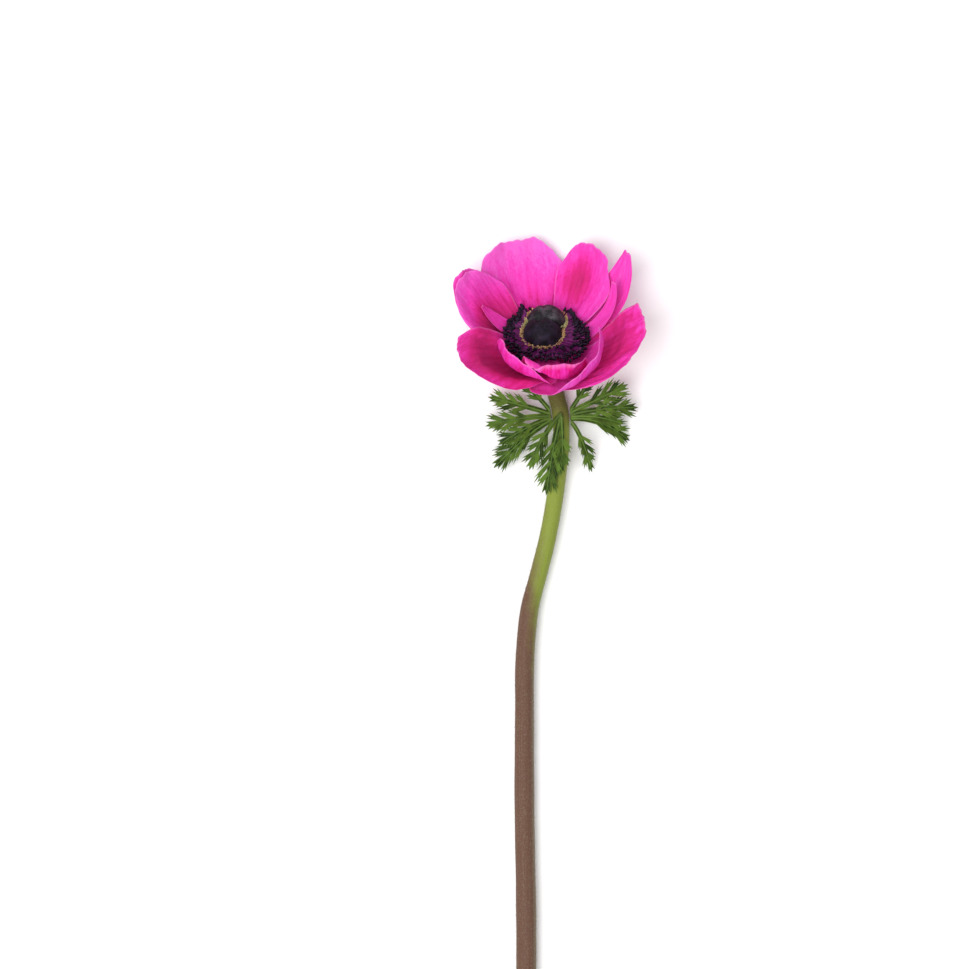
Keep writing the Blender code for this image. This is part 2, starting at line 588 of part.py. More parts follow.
def division(base, knee, tip, reach, pairs, facing):
    """Middle surface of one division: a narrow blade along a rib that bends from base over knee to
    tip, with lobes on both sides and one at its end."""
    base, knee, tip, facing = (np.asarray(p, dtype=float) for p in (base, knee, tip, facing))
    t = np.append(0.0, np.linspace(*lobe_span, pairs + 1))
    line = t[:, None]
    rib = (1 - line) ** 2 * base + 2 * line * (1 - line) * knee + line ** 2 * tip
    ahead = unit((1 - line) * (knee - base) + line * (tip - knee))
    face = unit(facing - ahead * (ahead @ facing)[:, None])
    side = np.cross(ahead, face)
    width = blade_half_width(reach, t)[:, None]
    # The cuts between the slanting lobes lie further along the rib than the lobes' feet
    shear = width / math.tan(lobe_angle)
    shear[0] = 0.0
    shear[-1] /= 2.0
    count = len(t)
    points, triangles, cuts = [rib], [], []
    total = count
    between_corners = [(0, 2, 1), (0, 6, 2), (6, 4, 2), (2, 4, 3), (6, 5, 4)]
    for hand in (-1, 1):
        cut = total + np.arange(count)
        cuts.append(cut)
        points.append(rib + hand * width * side + shear * ahead + leaf_fold * width * face)
        total += count
        found = []
        for k in range(count - 1):
            found += [(k, cut[k + 1], cut[k]), (k, k + 1, cut[k + 1])]
        for k in range(1, count - 1):
            half = lobe_fill * np.linalg.norm(rib[k + 1] - rib[k]) * math.sin(lobe_angle)
            sway = lobe_sway * math.cos(2.4 * k + 2.0 * hand)
            points.append(lobe_points((rib[k] + rib[k + 1]) / 2.0, ahead[k], hand * side[k], face[k],
                                      lobe_angle, lobe_length(reach, k - 1, pairs, hand), half, sway))
            found += [(cut[k], cut[k + 1], total + 6), (cut[k], total + 6, total)]
            found += [(total + a, total + b, total + c) for a, b, c in between_corners]
            total += 7
        triangles += found if hand < 0 else [(a, c, b) for a, b, c in found]
    end_length = np.linalg.norm(tip - rib[-1])
    points.append(lobe_points(rib[-1], ahead[-1], -side[-1], face[-1], 0.0, end_length,
                              width[-1, 0] / 0.7, 0.0))
    last = count - 1
    triangles += [(last, total + 6, total), (cuts[1][last], total + 6, last), (last, total, cuts[0][last])]
    triangles += [(total + a, total + b, total + c) for a, b, c in between_corners]
    return np.vstack(points), np.array(triangles)


# Divisions of each leaf: the knee and the tip, both from the collar's place, then the reach of the
# lobes to each side, the number of pairs and the direction that the face turns to
leaves = {
    "collar_leaf_right": [
        ((8.0, 8, 4), (14, 17, 6), 4.3, 2, (0.1, -0.3, 1.0)),
        ((15, 7, 5), (32, 15, 5), 6.8, 3, (0.1, -0.15, 1.0)),
        ((18, 4, 7), (37, 4, 0.0), 6.5, 3, (0.1, 0.1, 1.0)),
        ((17, 1, 5.5), (30, -4, -1.0), 5.5, 3, (0.1, 0.2, 1.0)),
        ((19, 0, 6), (33, -12, -5.6), 7.0, 3, (0.1, 0.3, 1.0)),
        ((10, -8, 5), (15, -27, -3.0), 4.8, 3, (0.3, 0.2, 1.0)),
    ],
    "collar_leaf_left": [
        ((-9.5, 8, 4), (-18, 16, 5), 4.5, 2, (-0.1, -0.4, 1.0)),
        ((-17, 5.0, 5.0), (-35, 9, 2), 6.0, 3, (-0.2, -0.1, 1.0)),
        ((-18, 0, 7), (-36, -5, -1.0), 6.5, 3, (-0.1, 0.1, 1.0)),
        ((-15, -4, 6), (-30, -14, -1.5), 6.0, 3, (-0.1, 0.2, 1.0)),
        ((-16, -8, 4.5), (-32, -25, -5.6), 7.5, 4, (-0.1, 0.3, 1.0)),
    ],
    "collar_leaf_front": [
        ((-9, -8, 11), (-15, -26, 4.0), 6.0, 3, (-0.4, -0.2, 1.0)),
        ((-4, -14, 10), (-7, -38, 2.5), 7.5, 4, (-0.2, -0.1, 1.0)),
        ((1, -10, 9), (0, -28, 5.5), 4.5, 2, (0.3, -0.1, 1.0)),
    ],
}
# The direction in which each leaf leaves the stem, and how far its foot stands off the stem's middle
leaf_feet = {
    "collar_leaf_right": ((1.0, 0.0, 0.0), 4.35),
    "collar_leaf_left": ((-1.0, 0.0, 0.0), 4.35),
    "collar_leaf_front": ((0.0, 0.0, 1.0), 4.75),
}


def make_leaves():
    """Three leaves that sit on the stem at one height, each seated just clear of it."""
    centre = np.array(collar_place) + [*bloom_centre[:2], 0.0]
    for name, divisions in leaves.items():
        outward, off = leaf_feet[name]
        foot = centre + np.array(outward) * off
        solids = []
        for order, (knee, tip, reach, pairs, facing) in enumerate(divisions):
            start = foot + foot_step * (order - (len(divisions) - 1) / 2.0)
            points, triangles = division(start, centre + knee, centre + tip, reach, pairs, facing)
            points[:, 2] = np.maximum(points[:, 2], table_height + leaf_thickness / 2.0)
            points = clear_of_stem(points)
            solid, faces = sheet_solid(points, triangles, leaf_thickness)
            solid[:, 2] = np.maximum(solid[:, 2], table_height)
            solids.append((solid, faces))
        join_solids(name, solids, (0.10, 0.20, 0.04), 0.6)


def clear_of_stem(points):
    """Points too near the stem moved straight away from its middle line, to lie just clear of it."""
    middle, radii = stem_middle()
    ends, starts = middle[1:], middle[:-1]
    run = ends - starts
    share = np.einsum("pik,ik->pi", points[:, None] - starts, run) / np.sum(run ** 2, axis=1)
    share = np.clip(share, 0.0, 1.0)
    nearest = starts + share[..., None] * run
    away = points[:, None] - nearest
    distance = np.linalg.norm(away, axis=2)
    least = radii[:-1] + share * (radii[1:] - radii[:-1]) + seat_gap + leaf_thickness / 2.0 + leaf_play
    pick = np.arange(len(points)), np.argmin(distance - least, axis=1)
    short = np.maximum(least[pick] - distance[pick], 0.0)
    return points + away[pick] / distance[pick][:, None] * short[:, None]


def clear_scene():
    for item in list(bpy.context.scene.objects):
        bpy.data.objects.remove(item)


def main():
    clear_scene()
    make_stem()
    make_leaves()
    surfaces, pile = layered_petals()
    make_petals(surfaces)
    make_stamens(pile)
    make_seed_head()


main()
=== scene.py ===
import math

import bpy
import numpy as np
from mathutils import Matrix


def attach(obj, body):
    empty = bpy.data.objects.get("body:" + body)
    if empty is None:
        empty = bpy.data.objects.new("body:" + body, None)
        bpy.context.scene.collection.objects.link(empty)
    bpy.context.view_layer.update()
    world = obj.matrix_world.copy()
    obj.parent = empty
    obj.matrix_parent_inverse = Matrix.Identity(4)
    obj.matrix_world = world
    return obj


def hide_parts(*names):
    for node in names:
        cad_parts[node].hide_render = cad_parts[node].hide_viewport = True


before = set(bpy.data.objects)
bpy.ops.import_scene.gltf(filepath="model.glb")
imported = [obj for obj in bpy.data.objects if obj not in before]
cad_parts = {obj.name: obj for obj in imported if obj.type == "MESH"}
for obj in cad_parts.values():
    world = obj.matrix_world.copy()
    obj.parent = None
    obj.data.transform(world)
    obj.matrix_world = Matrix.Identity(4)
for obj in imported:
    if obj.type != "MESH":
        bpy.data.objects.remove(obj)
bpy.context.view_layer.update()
print("frame loaded,", len(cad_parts), "nodes")

# Lengths are in millimetres until a mesh is made. The bloom's axis leans up out of the surface.

bloom = {
    "centre": (-0.6, 159.6, 11.1),      # foot of the petals
    "lift": 45.0,                       # between the bloom's axis and the surface
    "knobRadius": 5.5,
    "knobTop": 5.0,
    "knobBottom": -6.5,
    "seatGap": 0.30,                    # between a piece and what carries it
}
bloomCentre = np.array(bloom["centre"])
liftAngle = math.radians(bloom["lift"])
bloomAcross = np.array([1.0, 0.0, 0.0])
bloomBack = np.array([0.0, math.sin(liftAngle), -math.cos(liftAngle)])
bloomAxis = np.array([0.0, math.cos(liftAngle), math.sin(liftAngle)])


def unit(v):
    # each vector divided by its length
    return v / np.maximum(np.linalg.norm(v, axis=-1, keepdims=True), 1e-12)


def bloomToPart(x, y, h):
    # centre + x across + y backwards + h along the bloom's axis
    x, y, h = np.broadcast_arrays(x, y, h)
    return bloomCentre + x[..., None] * bloomAcross + y[..., None] * bloomBack + h[..., None] * bloomAxis


def roundAxis(reach, turn, h):
    # the same from a distance and a direction round the axis
    return bloomToPart(reach * np.cos(turn), reach * np.sin(turn), h)


def circle(sides):
    # directions evenly round a circle
    return np.linspace(0.0, 2.0 * math.pi, sides, endpoint=False)


def smoothStep(low, high, x):
    # 3 t^2 - 2 t^3 of x's place between low and high
    t = np.clip((x - low) / (high - low), 0.0, 1.0)
    return t * t * (3.0 - 2.0 * t)


# Meshes

def gridFaces(rows, columns, around=False):
    # quads of a grid of points; around joins the last column to the first
    i, j = np.meshgrid(np.arange(rows - 1), np.arange(columns if around else columns - 1), indexing="ij")
    after = (j + 1) % columns
    quads = np.stack([i * columns + j, i * columns + after, (i + 1) * columns + after,
                      (i + 1) * columns + j], axis=-1)
    return quads.reshape(-1, 4)


def addObject(name, data):
    # a new object of the scene
    made = bpy.data.objects.new(name, data)
    bpy.context.scene.collection.objects.link(made)
    return made


def addPiece(name, points, faces, node, material, uv=None, fields=None):
    # a piece of the part: points in millimetres, faces as corner lists, uv and fields one per point
    mesh = bpy.data.meshes.new(name)
    mesh.from_pydata((np.asarray(points) * 0.001).tolist(), [], faces)
    mesh.validate()
    mesh.shade_smooth()
    corners = np.empty(len(mesh.loops), dtype=np.int32)
    mesh.loops.foreach_get("vertex_index", corners)
    if uv is not None:
        layer = mesh.uv_layers.new(name="surface")
        layer.data.foreach_set("uv", np.asarray(uv, dtype=np.float32)[corners].ravel())
    for key, values in (fields or {}).items():
        attribute = mesh.attributes.new(key, "FLOAT", "POINT")
        attribute.data.foreach_set("value", np.asarray(values, dtype=np.float32))
    mesh.materials.append(material)
    piece = addObject(name, mesh)
    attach(piece, "root")
    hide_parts(node)
    return piece


def surfaceNormals(grid):
    # cross product of the grid's two directions
    down = np.gradient(grid, axis=0)
    along = np.gradient(grid, axis=1)
    return unit(np.cross(along, down))


def bladeFaces(rows, columns):
    # a blade's two grids of points, the second turned over, and a rim that joins their edges
    top = gridFaces(rows, columns)
    count = rows * columns
    i, j = np.arange(rows), np.arange(columns)
    edge = np.concatenate([i[:-1] * columns, (rows - 1) * columns + j[:-1],
                           i[:0:-1] * columns + columns - 1, j[:0:-1]])
    after = np.roll(edge, -1)
    rim = np.stack([edge, after, after + count, edge + count], axis=-1)
    return np.concatenate([top, top[:, ::-1] + count, rim])


def bladePlaces(rows, columns, ease=1.0):
    # u along the blade from 0 to 1, and v across it from -1 to 1
    u, v = np.linspace(0.0, 1.0, rows) ** ease, np.linspace(-1.0, 1.0, columns)
    return np.meshgrid(u, v, indexing="ij")


def bladeMap(u, v):
    # across and along from 0 to 1 at the points of both faces, and 0 on the first face, 1 on the second
    uv = np.stack([(v + 1.0) / 2.0, u], axis=-1).reshape(-1, 2)
    return np.concatenate([uv, uv]), np.repeat([0.0, 1.0], u.size)


def blade(grid, form, edge, margin):
    # the middle surface moved half its thickness both ways along its normals, nowhere under the floor;
    # it thins where the distance to the edge is less than the margin
    thickness = form["thin"] + (form["thick"] - form["thin"]) * smoothStep(0.0, margin, edge)
    normals = surfaceNormals(grid) * thickness[..., None] / 2.0
    points = np.concatenate([(grid + normals).reshape(-1, 3), (grid - normals).reshape(-1, 3)])
    points[:, 2] = np.maximum(points[:, 2], 0.0)
    return points


def tubeRings(middle, radii, sides):
    # rings round a path whose frame is carried along it without turning
    tangents = unit(np.gradient(middle, axis=0))
    side = unit(np.cross(tangents[0], [0.0, 0.0, 1.0]))
    angles = circle(sides)
    rings = []
    for point, tangent, radius in zip(middle, tangents, radii):
        side = unit(side - tangent * np.dot(side, tangent))
        up = np.cross(side, tangent)
        rings.append(point + radius * (np.cos(angles)[:, None] * side + np.sin(angles)[:, None] * up))
    return np.array(rings), angles


def closedRings(rings):
    # a tube's points and faces with a pole at each end; seen from the first end its rings run
    # counter-clockwise, and the faces look outwards
    rows, sides, _ = rings.shape
    points = np.concatenate([rings.reshape(-1, 3), rings[0].mean(0)[None], rings[-1].mean(0)[None]])
    j = np.arange(sides)
    after = (j + 1) % sides
    first, last = np.full(sides, rows * sides), np.full(sides, rows * sides + 1)
    base = (rows - 1) * sides
    faces = gridFaces(rows, sides, around=True)[:, ::-1].tolist()
    faces += np.stack([first, j, after], axis=-1).tolist()
    faces += np.stack([last, base + after, base + j], axis=-1).tolist()
    return points, faces


def scatter(form, origins, directions, lengths, widths):
    # one small form set at each origin: its z axis along the direction, scaled by length and width
    shape, shapeFaces = form
    ahead = unit(directions)
    side = unit(np.cross(ahead, [0.13, 0.31, 0.94]))
    up = np.cross(ahead, side)
    local = shape[None] * np.stack([widths, widths, lengths], axis=-1)[:, None]
    points = (origins[:, None] + local[..., :1] * side[:, None] + local[..., 1:2] * up[:, None]
              + local[..., 2:] * ahead[:, None])
    shift = np.arange(len(origins))[:, None, None] * len(shape)
    faces = []
    for size in (3, 4):
        group = np.array([face for face in shapeFaces if len(face) == size])
        faces += (group[None] + shift).reshape(-1, size).tolist()
    return points.reshape(-1, 3), faces


def pod(rings, sides, waist=0.0):
    # an ellipsoid of height 1 along z, with a groove along two of its sides
    turn = circle(sides)
    lean = np.linspace(0.0, math.pi, rings + 2)[-2:0:-1, None]
    wide = 0.5 * np.sin(lean) * (1.0 - waist * np.cos(turn) ** 8)
    points, faces = closedRings(np.stack([wide * np.cos(turn), wide * np.sin(turn),
                                          0.0 * turn - 0.5 * np.cos(lean)], axis=-1))
    points[-2:] = [[0.0, 0.0, 0.5], [0.0, 0.0, -0.5]]
    return points, faces


def hair(sides=3, bend=0.18):
    # a slim cone of height 1 with one ring at its middle, bent sideways
    turn = circle(sides)
    ring = np.stack([np.cos(turn), np.sin(turn), np.zeros(sides)], axis=-1)
    points = np.concatenate([ring, ring * 0.7 + [bend, 0.0, 0.55], [[bend * 2.6, 0.0, 1.0]]])
    j = np.arange(sides)
    after = (j + 1) % sides
    faces = np.stack([j, after, after + sides, j + sides], axis=-1).tolist()
    faces += np.stack([j + sides, after + sides, np.full(sides, 2 * sides)], axis=-1).tolist()
    return points, faces + [j[::-1].tolist()]


# Shader maths

def operator(operation, swapped=False):
    # a method that adds the operation's Math node
    def act(self, other=0.0):
        return self.sum(operation, other, self) if swapped else self.sum(operation, self, other)
    return act


class Wire:
    # a socket that takes part in sums
    def __init__(self, tree, socket):
        self.tree = tree
        self.socket = socket

    def node(self, kind, settings, values, output=0):
        # a new node with its settings, and numbers or wires in its sockets
        made = self.tree.nodes.new(kind)
        for key, value in settings.items():
            if key == "stops":
                while len(made.color_ramp.elements) < len(value):
                    made.color_ramp.elements.new(0.5)
                for element, (place, colour) in zip(made.color_ramp.elements, value):
                    element.position = place
                    element.color = (*colour, 1.0)
            else:
                setattr(made, key, value)
        for key, value in values.items():
            if isinstance(value, Wire):
                self.tree.links.new(value.socket, made.inputs[key])
            else:
                made.inputs[key].default_value = value
        return Wire(self.tree, made.outputs[output])

    def sum(self, operation, first, second=0.0, clamp=False):
        settings = {"operation": operation, "use_clamp": clamp}
        return self.node("ShaderNodeMath", settings, {0: first, 1: second})

    __add__, __radd__ = operator("ADD"), operator("ADD", True)
    __sub__, __rsub__ = operator("SUBTRACT"), operator("SUBTRACT", True)
    __mul__, __pow__, __abs__ = operator("MULTIPLY"), operator("POWER"), operator("ABSOLUTE")

    def clipped(self):
        return self.sum("ADD", self, 0.0, clamp=True)

    def between(self, low, high):
        # 0 under low, 1 over high, smooth between
        return self.node("ShaderNodeMapRange", {"interpolation_type": "SMOOTHSTEP"},
                         {"Value": self, "From Min": low, "From Max": high})

    def mixed(self, factor, first, second):
        return self.node("ShaderNodeMix", {"data_type": "RGBA"},
                         {0: factor, 6: colourOf(first), 7: colourOf(second)}, output=2)

    def attribute(self, name):
        return self.node("ShaderNodeAttribute", {"attribute_name": name}, {}, output=2)

    def noise(self, place, scale, detail=2.0):
        return self.node("ShaderNodeTexNoise", {}, {"Vector": place, "Scale": scale, "Detail": detail})

    def vector(self, x, y, z):
        return self.node("ShaderNodeCombineXYZ", {}, {0: x, 1: y, 2: z})

    def parts(self, vector):
        return [self.node("ShaderNodeSeparateXYZ", {}, {0: vector}, output=k) for k in range(3)]

    def place(self):
        # where the point lies on the part, in metres
        return self.node("ShaderNodeTexCoord", {}, {}, output="Object")

    def surface(self):
        # the piece's own map: across and along it, both from 0 to 1
        return self.parts(self.node("ShaderNodeUVMap", {"uv_map": "surface"}, {}))[:2]


def colourOf(value):
    # a wire as it is, and a colour with its alpha
    return value if isinstance(value, Wire) else (*value, 1.0)


def newMaterial(name, constants):
    # a Principled material with its constant sockets set; also gives its shader and a first wire
    material = bpy.data.materials.new(name)
    material.use_nodes = True
    shader = material.node_tree.nodes["Principled BSDF"]
    for key, value in constants.items():
        shader.inputs[key].default_value = value
    start = Wire(material.node_tree, shader.outputs[0])
    return material, shader, start


def finish(shader, wires, height, strength, distance):
    # each wire into its socket of the shader, and the height as a bump in its normal
    values = {"Strength": strength, "Distance": distance, "Height": height}
    bump = height.node("ShaderNodeBump", {}, values)
    for key, wire in {**wires, "Normal": bump}.items():
        wire.tree.links.new(wire.socket, shader.inputs[key])


petalFinish = {
    "tones": [(0.0, (0.26, 0.0004, 0.026)), (0.25, (0.48, 0.003, 0.088)), (0.44, (0.60, 0.007, 0.17)),
              (0.62, (0.80, 0.034, 0.41)), (0.80, (0.83, 0.075, 0.54)), (1.0, (0.87, 0.16, 0.68))],
    "pale": (0.90, 0.34, 0.66),
    "back": (0.74, 0.065, 0.38),
    # each noise: how often across and along, its detail, its share in the tone
    "noises": {"broad": (5.0, 1.6, 2.0, 0.36), "streak": (15.0, 3.2, 3.0, 0.30),
               "fine": (48.0, 9.0, 2.0, 0.10), "mottle": (30.0, 30.0, 3.0, 0.34)},
    "crinkleShading": 1.6, "veins": 0.10,     # their shares; the crinkles' share is painted light on their ridges and painted shade in their troughs
    "bump": (0.38, 0.0005),             # strength, and height in metres
}


def petalMaterial():
    # a ramp of tones read at the petal's own tone with its painted shade, plus the noises and the
    # crinkles' painted light and shade, paler at the margin and the claw
    c = petalFinish
    material, shader, w = newMaterial("petal_silk", {
        "Specular IOR Level": 0.04, "Subsurface Weight": 0.10, "Subsurface Radius": (1.0, 0.15, 0.35),
        "Subsurface Scale": 0.0010})
    across, along = w.surface()
    across = across * 2.0 - 1.0
    # the petal's own tone with its painted light and shade, read per point
    seed, wrinkled, shadedLightness = [w.attribute(name) for name in ("grain", "wrinkled", "tone")]
    noises = {}
    for name, (wide, long, detail, share) in c["noises"].items():
        noises[name] = w.noise(w.vector(across * wide, along * long, seed), 1.0, detail)
        shadedLightness = shadedLightness + (noises[name] - 0.5) * share
    streak, fine, mottle = [noises[name] for name in ("streak", "fine", "mottle")]
    veins = (1.0 - abs(fine * 2.0 - 1.0)) ** 7.0
    slanting = w.vector(across * 4.5 + along * 3.0, along * 15.0 - across * 5.0, seed)
    wrinkle = w.noise(slanting, 1.0)
    # painted light on the crinkles' ridges and painted shade in their troughs, where the bump raises and
    # lowers them
    shadedLightness = shadedLightness + (wrinkle - 0.5) * wrinkled * c["crinkleShading"] - veins * c["veins"]
    colour = w.node("ShaderNodeValToRGB", {"stops": c["tones"]}, {0: shadedLightness.clipped()})
    margin = (abs(across).between(0.95, 1.0) + along.between(0.972, 1.0)).clipped()
    colour = w.mixed(margin * (0.10 + mottle * 0.45), colour, c["pale"])
    claw = (1.0 - along.between(0.06, 0.26)) * (0.05 + streak * 0.35)
    colour = w.mixed(claw.clipped(), colour, c["pale"])
    colour = w.mixed(w.attribute("backFace") * (0.15 + streak * 0.25), colour, c["back"])
    finish(shader, {"Base Color": colour, "Roughness": (0.46 + mottle * 0.18).clipped()},
           streak * 0.6 + fine * 0.4 + mottle * 0.2 + wrinkle * wrinkled * 3.0, *c["bump"])
    return material


leafFinish = {
    "base": (0.090, 0.165, 0.020),
    "dark": (0.010, 0.026, 0.003),
    "rib": (0.15, 0.25, 0.06),
    "tip": (0.15, 0.26, 0.035),
    "back": (0.11, 0.19, 0.06),
    "cloud": 220.0, "grain": 1400.0,    # scales of the two noises
    "sideRibs": 7.0,                    # on each lobe
    "bump": (0.5, 0.0004),
}


def leafMaterial():
    # dark and light green in clouds, paler along the edges, the ribs and the back
    c = leafFinish
    material, shader, w = newMaterial("leaf_green", {
        "Specular IOR Level": 0.10, "Subsurface Weight": 0.08, "Subsurface Radius": (0.5, 1.0, 0.2),
        "Subsurface Scale": 0.0008})
    across, along = w.surface()
    aside = abs(across * 2.0 - 1.0)
    cloud = w.noise(w.place(), c["cloud"], 3.0)
    grain = w.noise(w.place(), c["grain"])
    darkness = (cloud - 0.35) * 2.0 + (w.attribute("shade") - 0.4) * 1.1
    colour = w.mixed(darkness.clipped(), c["base"], c["dark"])
    colour = w.mixed((aside.between(0.65, 1.0) * (0.12 + grain * 0.5)).clipped(), colour, c["tip"])
    rib = 1.0 - aside.between(0.02, 0.12)
    fraction = w.sum("FRACT", along * c["sideRibs"] - aside * 1.4)
    sideRib = (1.0 - abs(fraction - 0.5) * 2.0).between(0.84, 0.99)
    ribs = (rib + sideRib * 0.45 * (1.0 - aside)).clipped()
    colour = w.mixed(ribs * 0.5, colour, c["rib"])
    colour = w.mixed(w.attribute("backFace") * 0.6, colour, c["back"])
    finish(shader, {"Base Color": colour, "Roughness": (0.48 + grain * 0.2).clipped()},
           cloud * 0.5 + grain * 0.3 - ribs * 0.8, *c["bump"])
    return material


stemFinish = {
    "top": (0.215, 0.268, 0.040),
    "low": (0.120, 0.052, 0.042),
    # painted shade under the bloom, darker brown-green on the neck
    "neck": (0.085, 0.075, 0.020),
    "cut": (0.42, 0.50, 0.26),
    "hair": (0.42, 0.43, 0.29), "hairDark": (0.34, 0.35, 0.22),
    # where green gives way to brown, in metres along the part; how fast; how much sooner at the left
    "brown": 0.0625, "brownRate": 26.0, "brownAside": 0.65,
    # where that painted shade lies, in metres along the part
    "neckSpan": (0.117, 0.131),
    "bump": (0.35, 0.0005),
}


def stemMaterial():
    # green above, brown below with a soft streaky change, downy with a painted sheen down its right side,
    # darker on the neck with painted shade under the bloom, and pale on the cut face
    c = stemFinish
    material, shader, w = newMaterial("stem_green", {
        "Specular IOR Level": 0.12, "Subsurface Weight": 0.12, "Subsurface Radius": (0.6, 1.0, 0.25),
        "Subsurface Scale": 0.0015})
    y = w.parts(w.place())[1]
    streak = w.noise(w.vector(w.surface()[0] * 26.0, y * 25.0, 0.0), 1.0, 3.0)
    cloud = w.noise(w.place(), 60.0, 3.0)
    fine = w.noise(w.place(), 1500.0)
    left = w.attribute("leftSide")
    brown = (c["brown"] - y) * c["brownRate"] + left * c["brownAside"]
    brown = (brown + (cloud - 0.5) * 1.2 + (streak - 0.5) * 0.9).between(-0.2, 1.2)
    colour = w.mixed(brown * 0.95, c["top"], c["low"])
    # downy streaks and grain, and a painted sheen of hairs along the stem's right side
    downAndSheen = (streak - 0.5) * 0.35 + (fine - 0.5) * 0.55 + (0.0 - left).between(0.55, 1.0) * 0.22
    colour = w.mixed(downAndSheen.clipped(), colour, c["hair"])
    # painted shade of the bloom over the stem's neck
    neck = (y + (cloud - 0.5) * 0.008).between(*c["neckSpan"])
    colour = w.mixed(neck * 0.9, colour, c["neck"])
    colour = w.mixed(w.attribute("cutFace"), colour, c["cut"])
    finish(shader, {"Base Color": colour, "Roughness": (0.42 + fine * 0.25).clipped()},
           streak * 0.6 + fine * 0.35, *c["bump"])
    return material


def plainMaterial(name, dark, light, roughness, scale, shine=0.4):
    # two colours mixed by a cloud and a fine grain, for small dark pieces
    material, shader, w = newMaterial(name, {"Roughness": roughness, "Specular IOR Level": shine})
    cloud = w.noise(w.place(), scale, 3.0)
    grain = w.noise(w.place(), scale * 6.0)
    colour = w.mixed(((cloud - 0.35) * 1.8 + (grain - 0.5) * 0.6).clipped(), dark, light)
    finish(shader, {"Base Color": colour}, grain, 0.4, 0.0002)
    return material


# Petals: all lie in one cup, each on those before it

cup = {
    # slope in degrees: its mean, its swing round the cup, the steepest direction; the foot's share
    "length": 50.0, "liftMean": 36.0, "liftSwing": 13.0, "steepest": 85.0, "start": 0.30,
    "footHeight": -3.0, "footRadius": 5.9, "footLength": 12.0,
    "solid": 0.65,                      # thickness that keeps the layers apart
    "gap": 0.40, "growth": 0.012,       # between layers: at the foot, and more for each mm outwards
    "softness": 0.6,                    # how softly a petal settles on those under it
    "clawHalf": 4.4,
    "thick": 0.36, "thin": 0.15,        # of the blade at its middle and at its margin
    "ragged": [(0.30, 19.0, 1.0), (0.22, 41.0, 2.0)],       # of the margin: how far, how often, phase
    "rows": 84, "columns": 72,
}
# the groups of values in each petal's row
petalKeys = [
    "turn", "long", "half",             # direction in degrees, length, half width
    "tip", "slant", "taper", "point", "skew",       # outline: see petalPlace and petalHalf
    "rest", "lean", "bend", "arch", "twist", "roll", "lip", "wave", "notch",    # form: see petalRise
    "tone", "crinkle", "footShade",          # look: see petalTone; the last is painted light towards the tip and painted shade towards the foot
]
petalList = {
    "petal_01": ((160, 53, 16), (0.36, 0, 1.9, 0, -2),
                 (0, 0, 2, 0, 0, 1, 1, 0.8, 1), (0.74, 0.1, 0.4)),
    "petal_02": ((117, 54, 28), (0.27, 0, 1.9, 0, 0),
                 (0, 0, 2, 0, 0, 1, 0.5, 0.9, 2.2), (0.84, 0.14, 0.75)),
    "petal_03": ((21.5, 60.5, 10.5), (0, -0.02, 2.55, 0.88, 6),
                 (0, 0, 2, 0, 1, 1.4, 0, 0.3, 0), (0.78, 0.1, 0.2)),
    "petal_04": ((310.5, 48.5, 28), (0.1, -0.06, 1.9, 0, 20),
                 (0, -1, 2, 0, 4.2, 1, 4, 0.9, 0.8), (0.64, 0.3, 0.1)),
    "petal_05": ((296, 47.5, 24), (0.2, 0.03, 1.9, 0, -2),
                 (0, 2, 3, 1, 11, 0.5, -5.5, 0.6, 0.6), (0.7, 0.14, 0.3)),
    "petal_06": ((51, 56, 16), (0.3, 0, 1.9, 0, 2),
                 (1, 2, 2, 0, 0, 2, 0.5, 0.8, 1), (0.76, 0.12, 0.1)),
    "petal_07": ((162, 53, 18), (0.3, 0, 1.9, 0, 0),
                 (1, 2, 2, 0, 0, 2.5, 1, 0.6, 0.4), (0.66, 0.1, 1.1)),
    "petal_08": ((168, 35, 5), (0, 0, 2.4, 0.8, 0),
                 (2, 4, 2, 0, 0, 1, 0, 0.3, 0), (0.66, 0.05, 0)),
    "petal_09": ((228, 49, 25), (0.24, 0.1, 1.9, 0, 0),
                 (1, 0, 2, 0, -2, 4, 5, 1, 0.8), (0.64, 0.14, 0)),
    "petal_10": ((243, 43, 20), (0.24, -0.07, 1.9, 0, 4),
                 (1, 11.5, 4, 0.6, -6, 0.5, 0, 0.5, 0.4), (0.62, 0.12, 0.2)),
    "petal_11": ((1, 46, 5), (0, 0, 2.2, 0.84, 20),
                 (2, 5, 2, 0, 1, 0.6, 0, 0.1, 0), (0.74, 0.06, 0)),
    "petal_12": ((275, 47, 18), (0.03, 0, 1.9, 0, 0),
                 (0, 11.8, 10, 0.4, 0, 0.5, 0, 0.5, 0), (0.57, 0.1, 0)),
}
petalList = {name: dict(zip(petalKeys, sum(row, ()))) for name, row in petalList.items()}
paintedShadows = {         # painted shade in a petal's hollow: depth, place along, aside, width
    "petal_04": (0.34, 0.68, 0.45, 0.7),
    "petal_06": (0.52, 0.6, 0.28, 0.5),
    "petal_07": (0.34, 0.45, 0.3, 0.5),
    "petal_09": (0.8, 0.66, -0.05, 0.85),
}
fieldS = np.linspace(0.0, 62.0, 63)
fieldTurn = np.radians(np.arange(0.0, 360.0, 2.0))


def cupProfile(s, turn):
    # the slope grows evenly with arc length; radius and height are the integrals of its cosine and sine
    mean = np.radians(cup["liftMean"] + cup["liftSwing"] * np.cos(turn - math.radians(cup["steepest"])))
    growth = 2.0 * (1.0 - cup["start"]) * mean / cup["length"]
    first = cup["start"] * mean
    slope = first + growth * s
    radius = cup["footRadius"] + (np.sin(slope) - np.sin(first)) / growth
    height = cup["footHeight"] + (np.cos(first) - np.cos(slope)) / growth
    return radius, height, slope


